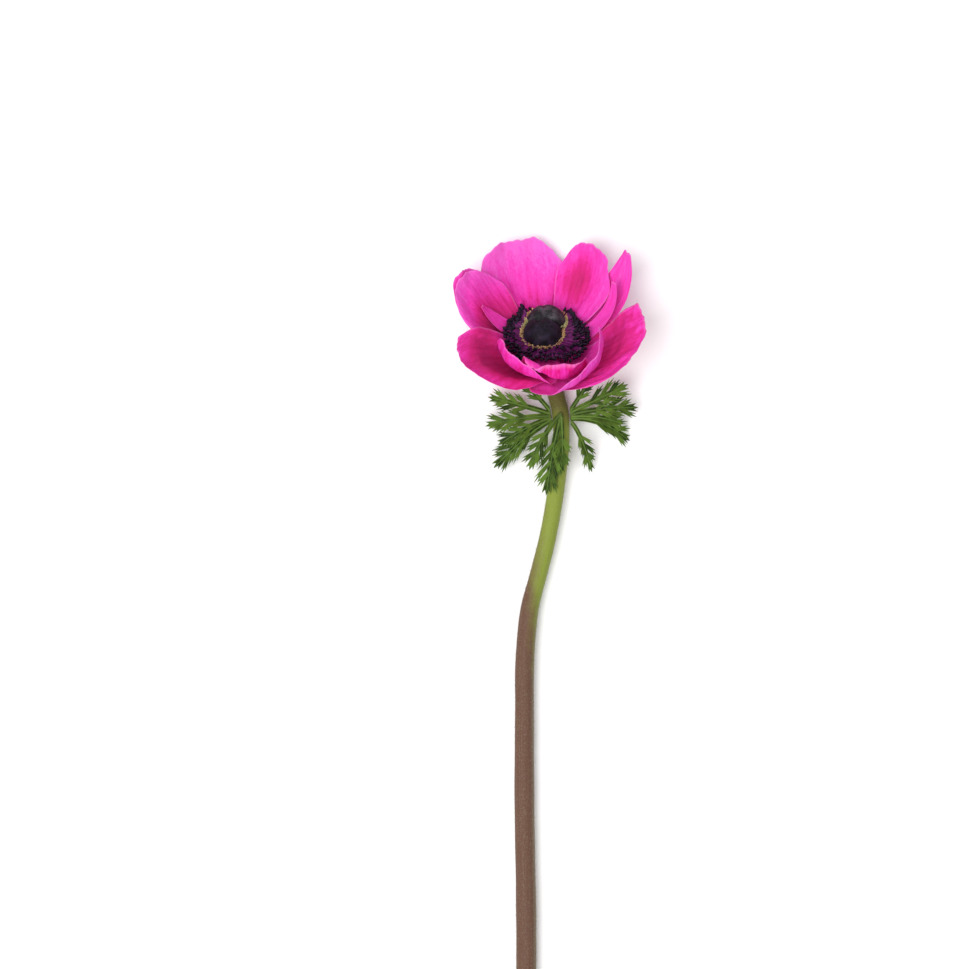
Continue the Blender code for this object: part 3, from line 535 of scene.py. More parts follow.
def cupPoint(s, turn, rise):
    # a point of the cup raised along its inward normal, which turns to the axis at the foot
    radius, height, slope = cupProfile(s, turn)
    inward = slope * np.clip(s / cup["footLength"], 0.0, 1.0)
    radius = radius - rise * np.sin(inward)
    height = height + rise * np.cos(inward)
    return bloomToPart(radius * np.cos(turn), radius * np.sin(turn), height)


def lowestRise(s, turn):
    # the rise that lays a petal on the surface where the cup would dip below it
    foot = cupPoint(s, turn, 0.0)[..., 2]
    step = cupPoint(s, turn, 1.0)[..., 2] - foot
    return np.where(step > 0.3, (cup["solid"] / 2.0 - foot) / np.maximum(step, 0.3), -9.0)


def petalHalf(petal, u):
    # half width: a sine that peaks beyond the middle, over the claw's, less towards a pointed tip
    width = cup["clawHalf"] + (petal["half"] - cup["clawHalf"]) * np.sin(petal["taper"] * u ** 1.15)
    return width * (1.0 - petal["point"] * np.clip(u, 0.0, 1.0) ** 4)


def petalRise(petal, u, v):
    # lean, twist, rolled edges, lip and ruffle, each a power of the distance from the foot
    seed = math.radians(petal["turn"])
    ruffle = np.sin(5.0 * v + 3.0 * seed) + 0.6 * np.sin(11.0 * v + 5.0 * seed)
    outward = np.clip((u - 0.76) / 0.24, 0.0, 1.0) ** 1.6
    lean = petal["lean"] * (1.0 - petal["arch"] * v ** 4)
    return (petal["rest"] + lean * u ** petal["bend"] + petal["twist"] * v * u ** 1.5
            + petal["roll"] * np.abs(v) ** 2.5 * np.sin(math.pi * np.clip(u, 0.0, 1.0))
            - petal["lip"] * outward + petal["wave"] * ruffle * u ** 3)


def petalPlace(petal, u, v):
    # arc length falls off to the shoulders, with notches; direction follows the half width and skew
    seed = math.radians(petal["turn"])
    fall = petal["tip"] * np.abs(v) ** 2.4 + petal["slant"] * v
    notches = petal["notch"] * (np.cos(7.0 * v + 2.0 * seed) - 1.0) / 2.0
    s = petal["long"] * u * (1.0 - fall * u) + notches * u ** 6
    radius, _, _ = cupProfile(s, seed)
    turn = seed + math.radians(petal["skew"]) * u ** 2 + v * petalHalf(petal, u) / radius
    return s, turn


def petalInside(petal, s, turn):
    # the petal's u and v at points of the field, found by repeated solving, and whether they lie on it
    seed = math.radians(petal["turn"])
    radius, _, _ = cupProfile(s, seed)
    u = np.clip(s / petal["long"], 0.0, 1.0)
    for _ in range(8):
        off = turn - seed - math.radians(petal["skew"]) * u ** 2
        off = (off + math.pi) % (2.0 * math.pi) - math.pi
        v = off * radius / petalHalf(petal, u)
        near = np.clip(v, -1.3, 1.3)
        fall = petal["tip"] * np.abs(near) ** 2.4 + petal["slant"] * near
        fall = np.where(np.abs(fall) < 1e-6, 1e-6, fall)
        root = np.maximum(1.0 - 4.0 * fall * s / petal["long"], 0.0)
        u = np.clip((1.0 - np.sqrt(root)) / (2.0 * fall), 0.0, 1.2)
    return np.clip(u, 0.0, 1.0), np.clip(v, -1.0, 1.0), (np.abs(v) < 1.03) & (u < 1.02)


def eased(field, cells=3):
    # the field widened by a few cells and smoothed by as many
    for _ in range(cells):
        field = np.maximum(field, np.maximum(np.roll(field, 1, 1), np.roll(field, -1, 1)))
        padded = np.pad(field, ((1, 1), (0, 0)), mode="edge")
        field = np.maximum(field, np.maximum(padded[:-2], padded[2:]))
    for _ in range(cells):
        field = (np.roll(field, 1, 1) + field + np.roll(field, -1, 1)) / 3.0
        padded = np.pad(field, ((1, 1), (0, 0)), mode="edge")
        field = (padded[:-2] + field + padded[2:]) / 3.0
    return field


def fieldAt(field, s, turn):
    # the field between its nodes, in proportion to the four round the point
    row = np.clip(s / (fieldS[1] - fieldS[0]), 0.0, len(fieldS) - 1.001)
    column = (turn % (2.0 * math.pi)) / (fieldTurn[1] - fieldTurn[0])
    i, j = row.astype(int), column.astype(int) % len(fieldTurn)
    a, b, after = row - i, column - column.astype(int), (j + 1) % len(fieldTurn)
    return ((1 - a) * ((1 - b) * field[i, j] + b * field[i, after])
            + a * ((1 - b) * field[i + 1, j] + b * field[i + 1, after]))


def laidRise(petal, u, v, s, turn, pile):
    # a petal's height once it lies on the pile and on the surface
    spacing = cup["solid"] + cup["gap"] + cup["growth"] * s
    own = petalRise(petal, u, v)
    held = fieldAt(pile, s, turn) + spacing
    rise = (own + held + np.sqrt((own - held) ** 2 + cup["softness"])) / 2.0
    return np.maximum(rise, lowestRise(s, turn))


def petalDetail(petal, u, v):
    # small folds: lengthwise furrows that fade to the foot, and slanting crinkles near the margin
    seed = math.radians(petal["turn"]) * 7.0
    furrows = 0.05 * np.sin(26.0 * v + seed) + 0.03 * np.sin(47.0 * v + 2.0 * seed + 3.0 * u)
    slant = np.sin(9.0 * u + 5.0 * v + seed) * np.sin(31.0 * u - 13.0 * v + 2.0 * seed)
    fold = np.sin(14.0 * u + 3.0 * np.sin(4.0 * v + seed)) * np.sin(6.0 * v + seed)
    swell = smoothStep(0.05, 0.45, u)
    return furrows * swell + petal["crinkle"] * (0.9 * slant + 0.6 * fold) * smoothStep(0.25, 0.8, u)


def petalTone(name, u, v):
    # how light the petal is: its own tone, painted light towards the tip and painted shade towards the
    # foot, and a painted shadow round one place in its hollow
    petal = petalList[name]
    depth, high, aside, wide = paintedShadows.get(name, (0.0, 0.6, 0.0, 0.5))
    # painted shadow in the petal's hollow
    shadowSpot = np.exp(-((u - high) / 0.20) ** 2 - ((v - aside) / wide) ** 2)
    return petal["tone"] + petal["footShade"] * (u - 0.7) - depth * shadowSpot


def makePetals(material):
    # each petal's grid is laid on the pile, made a blade that thins to its margin, and added to the pile
    pile = np.full((len(fieldS), len(fieldTurn)), -4.0)
    gridS, gridTurn = np.meshgrid(fieldS, fieldTurn, indexing="ij")
    rows, columns = cup["rows"] + 1, cup["columns"] + 1
    faces = bladeFaces(rows, columns).tolist()
    for order, (name, petal) in enumerate(petalList.items()):
        under = eased(pile)
        u, v = bladePlaces(rows, columns, ease=0.9)
        s, turn = petalPlace(petal, u, v)
        if petal["tip"] > 0.0:
            ragged = sum(far * np.sin(often * v + phase * petal["turn"])
                         for far, often, phase in cup["ragged"])
            s = s + ragged * u ** 12 * petal["half"] / 25.0
        rise = laidRise(petal, u, v, s, turn, under) + petalDetail(petal, u, v)
        grid = cupPoint(s, turn, rise)
        edge = np.minimum(1.0 - np.abs(v), 1.3 * (1.0 - u)) * petal["half"]
        points = blade(grid, cup, edge, 3.0)
        uv, backFace = bladeMap(u, v)
        # the points' tone is the petal's own tone with painted shade towards its foot and in its hollow
        fields = {"grain": np.full(len(points), 3.7 * order), "backFace": backFace,
                  "wrinkled": np.full(len(points), petal["crinkle"]),
                  "tone": np.tile(petalTone(name, u, v).ravel(), 2)}
        addPiece(name.replace("petal", "petal_blade"), points, faces, name, material, uv, fields)
        u, v, inside = petalInside(petal, gridS, gridTurn)
        top = laidRise(petal, u, v, gridS, gridTurn, under)
        pile = np.where(inside, np.maximum(pile, top), pile)
    print("petals made")
    return pile


def petalTop(pile, turn, reach):
    # height of the uppermost petal at a distance from the axis, found by stepping along the cup
    s = reach - cup["footRadius"]
    for _ in range(4):
        radius, height, slope = cupProfile(s, turn)
        rise = fieldAt(pile, s, turn)
        inward = slope * np.clip(s / cup["footLength"], 0.0, 1.0)
        s = np.clip(s + reach - radius + rise * np.sin(inward), 0.0, fieldS[-1])
    return height + rise * np.cos(inward)


# Seed head and stamens

seedHead = {
    "foot": bloom["knobTop"] + 2.0 * bloom["seatGap"] + 1.9,
    "lobes": [(-2.0, -1.8, 9.1, 7.7), (0.0, 7.1, 9.0, 7.6)],        # across, back, radius, height
    "seamDepth": 2.2, "seamWidth": 0.9,
    # across, back, width, length, depth
    "dents": [(-3.6, 2.4, 1.5, 3.2, 2.2), (-1.2, 11.5, 1.1, 3.5, 1.2)],
    "rows": 84, "columns": 168,
    "carpel": 0.07, "pitch": 8.2,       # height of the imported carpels' tips, and how close they stand
    "draw": 5,
    "golden": 2.399963,                 # radians from one style to the next
    "styles": 1700, "styleLong": 0.32, "styleThick": 0.075, "styleLean": 0.35, "styleSunk": 0.05,
    "front": (0.003, 0.001, 0.005), "frontLight": (0.046, 0.030, 0.068),
    "back": (0.014, 0.013, 0.016), "backLight": (0.160, 0.145, 0.165),
}


def seedMaterial():
    # blue-black on the front lobe, greenish grey on the back one
    c = seedHead
    material, shader, w = newMaterial("seed_head_velvet", {
        "Specular IOR Level": 0.18, "Sheen Weight": 0.03, "Sheen Roughness": 0.5})
    cloud = w.noise(w.place(), 240.0, 3.0)
    grain = w.noise(w.place(), 1700.0)
    lit = ((cloud - 0.40) * 1.6 + (grain - 0.5) * 0.9).clipped()
    front, back = [w.mixed(lit, c[lobe], c[lobe + "Light"]) for lobe in ("front", "back")]
    colour = w.mixed(w.attribute("backLobe"), front, back)
    finish(shader, {"Base Color": colour, "Roughness": (0.50 + grain * 0.2).clipped()},
           grain + cloud * 0.4, 0.5, 0.0002)
    return material


def seedHeight(x, y):
    # the higher of two domes, less a groove where they meet and a dent in each
    c = seedHead
    front, back = [height * np.sqrt(np.clip(1.0 - ((x - cx) ** 2 + (y - cy) ** 2) / radius ** 2, 0.0, 1.0))
                   for cx, cy, radius, height in c["lobes"]]
    seam = np.exp(-((front - back) / c["seamWidth"]) ** 2)
    seam = seam * np.clip(np.minimum(front, back) / 3.0, 0.0, 1.0)
    dents = sum(depth * np.exp(-((x - cx) / wide) ** 2 - ((y - cy) / long) ** 2)
                for cx, cy, wide, long, depth in c["dents"])
    return np.maximum(front, back) - c["seamDepth"] * seam - dents


def backLobe(x, y):
    # 0 on the front dome, 1 on the back one
    front, back = [np.hypot(x - cx, y - cy) / radius for cx, cy, radius, _ in seedHead["lobes"]]
    return smoothStep(-0.10, 0.16, front - back)


def circleReach(cx, cy, radius, turn):
    # distance from the axis to a circle whose middle is off the axis
    along = cx * np.cos(turn) + cy * np.sin(turn)
    aside = -cx * np.sin(turn) + cy * np.cos(turn)
    return along + np.sqrt(np.maximum(radius ** 2 - aside ** 2, 0.0))


def seedOutline(turn, extra=0.0):
    # distance from the axis to the rim: the further of the two round lobes
    lobes = [circleReach(cx, cy, radius + extra, turn) for cx, cy, radius, _ in seedHead["lobes"]]
    return np.maximum(*lobes)


def seedTop(x, y):
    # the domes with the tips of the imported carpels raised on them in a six-sided pattern
    a, b = x, 0.5 * x + 0.866 * y
    tips = sum(np.cos(seedHead["pitch"] * each) for each in (a, b, b - a))
    return np.maximum(seedHeight(x, y), 0.0) + seedHead["carpel"] * tips / 3.0


def makeSeedHead():
    # rings from the apex down to the rim and the foot, then short styles set out at the golden angle
    c = seedHead
    turn = circle(c["columns"])
    share = np.sin(np.linspace(0.0, math.pi / 2.0, c["rows"] + 1))[1:, None]
    x, y = [share * seedOutline(turn) * part for part in (np.cos(turn), np.sin(turn))]
    height = seedTop(x, y)
    height[-1] = 0.5
    rings = [bloomToPart(x, y, c["foot"] + height), bloomToPart(0.97 * x[-1:], 0.97 * y[-1:], c["foot"])]
    points, faces = closedRings(np.concatenate(rings))
    points[-2] = bloomToPart(0.0, 0.0, c["foot"] + seedTop(0.0, 0.0))
    velvet = seedMaterial()
    lobe = np.concatenate([backLobe(x, y).ravel(), backLobe(x[-1], y[-1]), [0.5, 0.0]])
    addPiece("seed_dome", points, faces, "seed_head", velvet, fields={"backLobe": lobe})

    draw = np.random.default_rng(c["draw"])
    count = c["styles"]
    turn = c["golden"] * np.arange(count)
    reach = np.sqrt((np.arange(count) + 0.5) / count) * 0.985
    x, y = [reach * seedOutline(turn) * part for part in (np.cos(turn), np.sin(turn))]
    step = 0.1
    slopeX = (seedTop(x + step, y) - seedTop(x - step, y)) / (2.0 * step)
    slopeY = (seedTop(x, y + step) - seedTop(x, y - step)) / (2.0 * step)
    out = unit(bloomToPart(-np.clip(slopeX, -3, 3), -np.clip(slopeY, -3, 3), 1.0) - bloomCentre)
    out = out + draw.uniform(-c["styleLean"], c["styleLean"], (count, 3))
    base = bloomToPart(x, y, c["foot"] + seedTop(x, y) - c["styleSunk"])
    form = hair()
    points, faces = scatter(form, base, out, c["styleLong"] * draw.uniform(0.6, 1.1, count),
                            np.full(count, c["styleThick"]))
    lobe = np.repeat(backLobe(x, y), len(form[0]))
    addPiece("seed_styles", points, faces, "seed_head", velvet, fields={"backLobe": lobe})
    print("seed head made")


stamen = {
    "draw": 11,
    "ring": (0.0, -4.6), "reach": 19.3, # the ring's outer edge: its middle from the axis, its radius
    "discMargin": 1.0, "discSides": 96,
    # share of the rim, height
    "disc": [(0.80, 0.0), (0.96, 0.4), (1.0, 1.0), (0.985, 1.7), (0.93, 1.9)],
    # count, place from the seed head to the ring's edge, least height, 1 with a sac or 0 bare
    "rows": [(42, 0.14, 8.6, 1), (70, 0.45, 8.6, 1), (90, 0.78, 8.1, 1), (104, 1.0, 7.4, 1),
             (150, 0.62, 6.9, 0)],
    "spread": (-0.16, 0.10), "bareSpread": (-0.5, 0.3),     # to and from the place, with a sac and bare
    "sideways": 0.55, "crowd": (0.24, 0.79),        # at both sides the sacs crowd to the outer edge
    "backFall": 4.0, "bareBack": 0.92,  # how much lower at the back, and where the back is bare
    # from the seed head to a thread's foot and to the innermost tips; least height over a petal
    "threadFoot": 0.4, "threadInset": 3.6, "clearance": 2.3,
    "threadRadius": 0.33, "threadSteps": 7, "threadSides": 5,
    "sacLong": 2.9, "sacWide": 1.68, "sacLean": 0.7,
    "sacDark": (0.004, 0.0008, 0.006), "sacLight": (0.030, 0.016, 0.045),
    "threadDark": (0.06, 0.003, 0.055), "threadLight": (0.36, 0.02, 0.27),
    "seams": (2.72, 0.42), "seamShare": 0.6, "seamSpread": 0.11,    # where the two lobes meet the ring
    "scales": {
        "inner_scales": {"count": 300, "out": (0.25, 1.5), "high": (0.0, 1.3), "steep": (0.2, 2.2),
                         "long": (0.8, 1.8), "dark": (0.44, 0.21, 0.08), "light": (0.90, 0.74, 0.40)},
        "seam_scales": {"count": 90, "out": (0.0, 1.6), "high": (0.2, 3.0), "steep": (0.5, 3.0),
                        "long": (0.9, 2.0), "dark": (0.26, 0.24, 0.06), "light": (0.80, 0.74, 0.42)},
    },
    "scaleWide": (0.35, 0.7),
}


def stamenPlaces(pile, draw, discTop):
    # a root at the seed head's foot, and a tip between there and the ring's edge, over the petals
    c = stamen
    counts = [row[0] for row in c["rows"]]
    share, height, fertile = [np.repeat(column, counts) for column in np.array(c["rows"]).T[1:]]
    angle = np.concatenate([2.0 * math.pi * (np.arange(n) + 0.9 * draw.random(n)) / n for n in counts])
    spread, bareSpread = [draw.uniform(*c[key], len(share)) for key in ("spread", "bareSpread")]
    share = share + spread * fertile + bareSpread * (1.0 - fertile)
    crowded = (np.abs(np.cos(angle)) > c["sideways"]) & (fertile > 0.5)
    share = np.clip(np.where(crowded, c["crowd"][0] + c["crowd"][1] * share, share), 0.0, 1.04)
    kept = np.sin(angle) < c["bareBack"] - 0.12 * share
    angle, share, height, fertile = angle[kept], share[kept], height[kept], fertile[kept] > 0.5
    start = seedOutline(angle)
    inner = start + c["threadInset"]
    room = np.maximum(circleReach(*c["ring"], c["reach"], angle) - inner, 1.2)
    reach = inner + share * room + draw.uniform(-0.5, 0.6, len(angle))
    beside = angle[:, None] + np.array([-0.06, 0.0, 0.06])
    under = petalTop(pile, beside, reach[:, None] + 0.6).max(axis=1)
    low = height - c["backFall"] * np.maximum(np.sin(angle), 0.0)
    top = np.maximum(low, under + c["clearance"]) + draw.uniform(-0.3, 1.1, len(angle))
    root = roundAxis(start + c["threadFoot"], angle, discTop - 0.6)
    return angle, root, roundAxis(reach, angle, top), fertile


def addThreads(root, tip, draw, material):
    # tubes along curves drawn by a middle point, thinner towards the tip
    c = stamen
    steps, sides, count = c["threadSteps"], c["threadSides"], len(root)
    mid = (root + tip) / 2.0 + draw.uniform(-0.5, 0.5, (count, 3))
    mid = mid + bloomAxis * draw.uniform(-0.9, 0.2, (count, 1))
    t = np.linspace(0.0, 1.0, steps)[None, :, None]
    line = (1 - t) ** 2 * root[:, None] + 2 * t * (1 - t) * mid[:, None] + t ** 2 * tip[:, None]
    along = unit(np.gradient(line, axis=1))
    side = unit(np.cross(along, bloomAcross + 0.4 * bloomBack))[:, :, None]
    up = np.cross(along[:, :, None], side)
    around = circle(sides)[:, None]
    girth = c["threadRadius"] * (1.25 - 0.5 * t[..., None])
    rings = line[:, :, None] + girth * (np.cos(around) * side + np.sin(around) * up)
    shift = np.arange(count)[:, None, None] * steps * sides
    faces = (gridFaces(steps, sides, around=True)[None] + shift).reshape(-1, 4).tolist()
    ends = np.stack([np.arange(sides)[::-1], np.arange(sides) + (steps - 1) * sides])
    faces += (ends[None] + shift).reshape(-1, sides).tolist()
    addPiece("stamen_threads", rings.reshape(-1, 3), faces, "stamens", material)


def addScales(name, turn, discTop, draw):
    # grains round the seed head: how far out, high, steep, long and wide at random
    c = stamen["scales"][name]
    out, high, steep, long = [draw.uniform(*c[key], len(turn)) for key in ("out", "high", "steep", "long")]
    place = roundAxis(seedOutline(turn) + out, turn, discTop + high)
    ahead = roundAxis(1.0, turn, steep) - bloomCentre
    points, faces = scatter(pod(4, 6), place, ahead, long, draw.uniform(*stamen["scaleWide"], len(turn)))
    material = plainMaterial(name, c["dark"], c["light"], 0.55, 700.0)
    addPiece(name, points, faces, "stamens", material)


def makeStamens(pile):
    # a disc under the ring, the threads, a sac at the end of each thread that bears one, and the scales
    c = stamen
    draw = np.random.default_rng(c["draw"])
    bottom = bloom["knobTop"] + bloom["seatGap"]
    discTop = bottom + c["disc"][-1][1]
    turn = circle(c["discSides"])
    rim = seedOutline(turn, c["discMargin"])
    rings = [roundAxis(share * rim, turn, bottom + high) for share, high in reversed(c["disc"])]
    points, faces = closedRings(np.array(rings))
    purple = plainMaterial("stamen_thread", c["threadDark"], c["threadLight"], 0.5, 500.0)
    addPiece("stamen_disc", points, faces, "stamens", purple)
    angle, root, tip, fertile = stamenPlaces(pile, draw, discTop)
    addThreads(root, tip, draw, purple)

    angle, tip, count = angle[fertile], tip[fertile], int(fertile.sum())
    angle = angle + draw.uniform(-c["sacLean"], c["sacLean"], count)
    ahead = roundAxis(1.0, angle, 0.7 + draw.uniform(-0.5, 0.8, count)) - bloomCentre
    lengths = c["sacLong"] * draw.uniform(0.8, 1.12, count)
    widths = c["sacWide"] * draw.uniform(0.8, 1.1, count)
    points, faces = scatter(pod(6, 8, waist=0.35), tip + unit(ahead) * 0.5, ahead, lengths, widths)
    sacs = plainMaterial("pollen_sac", c["sacDark"], c["sacLight"], 0.48, 420.0, shine=0.20)
    addPiece("pollen_sacs", points, faces, "stamens", sacs)

    inner, seam = [c["scales"][name]["count"] for name in ("inner_scales", "seam_scales")]
    addScales("inner_scales", draw.uniform(0.0, 2.0 * math.pi, inner), discTop, draw)
    side = np.where(draw.random(seam) < c["seamShare"], *c["seams"])
    addScales("seam_scales", side + draw.normal(0.0, c["seamSpread"], seam), discTop, draw)
    print("stamens made,", count)


# Stem

stemRoute = [                           # across and along from the bloom's centre, height, radius
    (-9.4, -370.0, 4.75, 4.75), (-9.5, -323.0, 4.75, 4.75), (-9.4, -286.0, 4.80, 4.75),
    (-9.6, -262.0, 4.90, 4.80), (-10.3, -221.0, 5.00, 4.70), (-10.3, -176.0, 5.20, 4.55),
    (-10.1, -151.0, 5.40, 4.45), (-8.0, -127.4, 5.60, 4.30), (-3.5, -109.5, 5.80, 4.15),
    (0.9, -91.7, 6.00, 4.05), (4.4, -71.9, 6.20, 3.90), (7.0, -50.8, 6.30, 3.85),
    (7.0, -34.3, 6.20, 4.00), (4.7, -24.0, 5.60, 4.00), (2.2, -15.0, 5.20, 4.10),
    (0.8, -9.0, 5.60, 4.30),
]
stem = {
    "sides": 40, "perSpan": 14,
    "girth": 4.7,                       # the radius that the left and right sides are measured by
    "rim": 0.12,                        # how far the cut's rim is drawn in
    "knobFoot": 4.6,                    # radius where the knob begins
    "cut": [(0.35, 0.45), (0.15, 0.80), (0.0, 0.96)],       # the cut face: how deep, share of the radius
    "wobble": [(0.012, 0.09, 0.0), (0.008, 0.23, 1.0)],     # along the stem: share, rate, phase
    "ridges": [(0.010, 7.0, 0.0), (0.006, 13.0, 1.0)],      # round the stem
    "draw": 3, "hairs": 3600, "hairLong": 1.0, "hairThick": 0.045, "hairLean": 0.45,
}


def smoothPath(points, perSpan):
    # a Catmull-Rom curve through the points, worked out for all spans at once
    p = np.asarray(points, dtype=float)
    ends = np.vstack([2 * p[0] - p[1], p, 2 * p[-1] - p[-2]])
    p0, p1, p2, p3 = ends[:-3, None], ends[1:-2, None], ends[2:-1, None], ends[3:, None]
    t = (np.arange(perSpan) / perSpan)[None, :, None]
    spans = 0.5 * (2 * p1 + (p2 - p0) * t + (2 * p0 - 5 * p1 + 4 * p2 - p3) * t ** 2
                   + (3 * p1 - p0 - 3 * p2 + p3) * t ** 3)
    return np.vstack([spans.reshape(-1, p.shape[1]), p[-1:]])


def stemMiddle():
    # the stem's middle line and radii, up to the knob's top
    line = smoothPath(stemRoute, stem["perSpan"])
    line[:, :2] += bloomCentre[:2]
    low, top, radius = bloom["knobBottom"], bloom["knobTop"], bloom["knobRadius"]
    heights = np.linspace(low, top, 12)
    radii = np.interp(heights, [low, low + 2.0, top], [stem["knobFoot"], radius, radius])
    line = np.vstack([line, np.column_stack([bloomToPart(0.0, 0.0, heights), radii])])
    return line[:, :3], line[:, 3]


def waves(terms, x):
    # 1 and a sum of sines
    return 1.0 + sum(share * np.sin(rate * x + phase) for share, rate, phase in terms)


def makeStem(material):
    # a tube along the middle line with a hollowed cut face, and hairs that stand out of it
    c = stem
    middle, radii = stemMiddle()
    sides = c["sides"]
    path = np.vstack([middle[:1] + [0.0, c["rim"], 0.0], middle[1:]])
    rings, angles = tubeRings(path, radii * waves(c["wobble"], middle[:, 1]), sides)
    body = path[:, None] + (rings - path[:, None]) * waves(c["ridges"], angles)[None, :, None]
    deep, share = np.array(c["cut"]).T[:, :, None, None]
    cut = middle[0] + deep * [0.0, 1.0, 0.0] + (body[0] - path[0])[None] * share
    rings = np.concatenate([cut, body])
    points, faces = closedRings(rings)
    points[:, 2] = np.maximum(points[:, 2], 0.0)
    leftSide = -((rings - rings.mean(axis=1, keepdims=True))[..., 0]) / c["girth"]
    cutFace = np.repeat([1.0, 0.0], [len(cut) * sides, len(body) * sides])
    fields = {"leftSide": np.append(leftSide, [0.0, 0.0]), "cutFace": np.append(cutFace, [1.0, 0.0])}
    around = np.tile(np.abs(np.arange(sides) / sides * 2.0 - 1.0), len(rings))
    along = np.repeat(np.linspace(0.0, 1.0, len(rings)), sides)
    uv = np.vstack([np.column_stack([around, along]), [[0, 0], [0, 1]]])
    addPiece("stem_stalk", points, faces, "stem", material, uv, fields)

    draw = np.random.default_rng(c["draw"])
    count = c["hairs"]
    row = draw.integers(6, len(path) - 14, count)
    column = draw.integers(0, sides, count)
    base = body[row, column] + (body[row + 1, column] - body[row, column]) * draw.random((count, 1))
    away = unit(base - path[row])
    out = away + draw.uniform(-c["hairLean"], c["hairLean"], (count, 3))
    lengths = c["hairLong"] * draw.uniform(0.5, 1.2, count)
    kept = (base + unit(out) * lengths[:, None])[:, 2] > 0.4
    base, out, lengths = (base - away * 0.08)[kept], out[kept], lengths[kept]
    points, faces = scatter(hair(), base, out, lengths, np.full(len(base), c["hairThick"]))
    down = plainMaterial("stem_hair", stemFinish["hairDark"], stemFinish["hair"], 0.6, 300.0)
    addPiece("stem_hairs", points, faces, "stem", down)
    print("stem made,", len(base), "hairs")


# Collar of cut leaves: each leaf is a fan of divisions

leafShape = {
    "place": (7.0, -34.3, 6.2),         # of the collar: across and along from the bloom's centre, height
    "footStep": (0.0, -0.9, 0.12),      # from one division's foot to the next
    "fold": 0.22,                       # how much a blade rises for each mm from its rib
    "span": (0.34, 0.80),               # the stretch of the rib that carries the side lobes
    "angle": math.radians(33.0),        # between a side lobe and the rib
    # of a lobe: bend forwards, width against its place on the rib, difference in length, rise to its tip
    "bend": 0.10, "fill": 0.40, "play": 0.12, "sway": 0.10,
    "lobeFoot": 0.7, "lobeFlare": 0.5,  # half width at the lobe's foot, and what it gains, in shares
    "end": [(-1.0, 0.84), (-0.4, 0.66), (0.0, 1.0), (0.4, 0.70), (1.0, 0.90)],      # across, reach
    "solid": 0.70, "room": 0.15, "thick": 0.42, "thin": 0.16,
    "sunk": 0.14, "ridge": 0.42,        # the blade under its lobes, and half the rib's width
    "lobeRows": 16, "ribRows": 48, "columns": 20, "ridgeColumns": 6,
    "draw": 21,
}
# the way each leaf leaves the stem and how far from its middle; then for each division its knee and
# tip from the collar's place, the reach of its lobes, their pairs, and the way its blade faces
leafList = {
    "collar_leaf_right": ((1.0, 0.0, 0.0), 4.35, [
        ((8.0, 8, 4), (14, 17, 6), 4.3, 2, (0.1, -0.3, 1.0)),
        ((15, 7, 5), (32, 15, 5), 6.8, 3, (0.1, -0.15, 1.0)),
        ((18, 4, 7), (37, 4, 0.0), 6.5, 3, (0.1, 0.1, 1.0)),
        ((17, 1, 5.5), (30, -4, -1.0), 5.5, 3, (0.1, 0.2, 1.0)),
        ((19, 0, 6), (33, -12, -5.6), 7.0, 3, (0.1, 0.3, 1.0)),
        ((10, -8, 5), (15, -27, -3.0), 4.8, 3, (0.3, 0.2, 1.0)),
    ]),
    "collar_leaf_left": ((-1.0, 0.0, 0.0), 4.35, [
        ((-9.5, 8, 4), (-18, 16, 5), 4.5, 2, (-0.1, -0.4, 1.0)),
        ((-17, 5.0, 5.0), (-35, 9, 2), 6.0, 3, (-0.2, -0.1, 1.0)),
        ((-18, 0, 7), (-36, -5, -1.0), 6.5, 3, (-0.1, 0.1, 1.0)),
        ((-15, -4, 6), (-30, -14, -1.5), 6.0, 3, (-0.1, 0.2, 1.0)),
        ((-16, -8, 4.5), (-32, -25, -5.6), 7.5, 4, (-0.1, 0.3, 1.0)),
    ]),
    "collar_leaf_front": ((0.0, 0.0, 1.0), 4.75, [
        ((-9, -8, 11), (-15, -26, 4.0), 6.0, 3, (-0.4, -0.2, 1.0)),
        ((-4, -14, 10), (-7, -38, 2.5), 7.5, 4, (-0.2, -0.1, 1.0)),
        ((1, -10, 9), (0, -28, 5.5), 4.5, 2, (0.3, -0.1, 1.0)),
    ]),
}


def lobeGrid(start, axes, angle, length, half, sway, u, w):
    # leaves the rib at an angle, bends forwards, widens evenly; its end runs through three teeth
    c = leafShape
    ahead, out, face = axes
    across, reach = np.array(c["end"]).T
    x = u * (1.0 + (np.interp(w, across, reach) - 1.0) * u ** 2)
    spread = half * w * (c["lobeFoot"] + c["lobeFlare"] * u)
    forward = length * x * (math.cos(angle) + c["bend"] * x * math.sin(angle)) + spread * math.sin(angle)
    aside = length * x * (1.0 - c["bend"] * x) * math.sin(angle) - spread * math.cos(angle)
    raised = c["fold"] * np.abs(aside) + sway * length * x ** 2
    crown = half * (0.10 * w ** 2 - 0.10) + 0.09 * np.sin(5.0 * x * length / 3.0 + 3.0 * w)
    raised = raised + crown * smoothStep(0.0, 0.5, u)
    return start + forward[..., None] * ahead + aside[..., None] * out + raised[..., None] * face


def bladeHalf(reach, t):
    # half width of the blade along the rib: it grows with the lobes' reach and is widest at its middle
    return 0.5 + reach * (0.105 + 0.05 * np.sin(math.pi * t) - 0.04 * t)


def lobeLong(reach, k, pairs, hand):
    # the middle pairs of lobes are longest, and no two are quite alike
    c = leafShape
    share = 0.74 + 0.20 * math.sin(math.pi * (k + 0.6) / pairs) - 0.10 * k / pairs
    return reach * share * (1.0 + c["play"] * math.cos(2.4 * k + 1.3 * hand)) / math.sin(c["angle"])


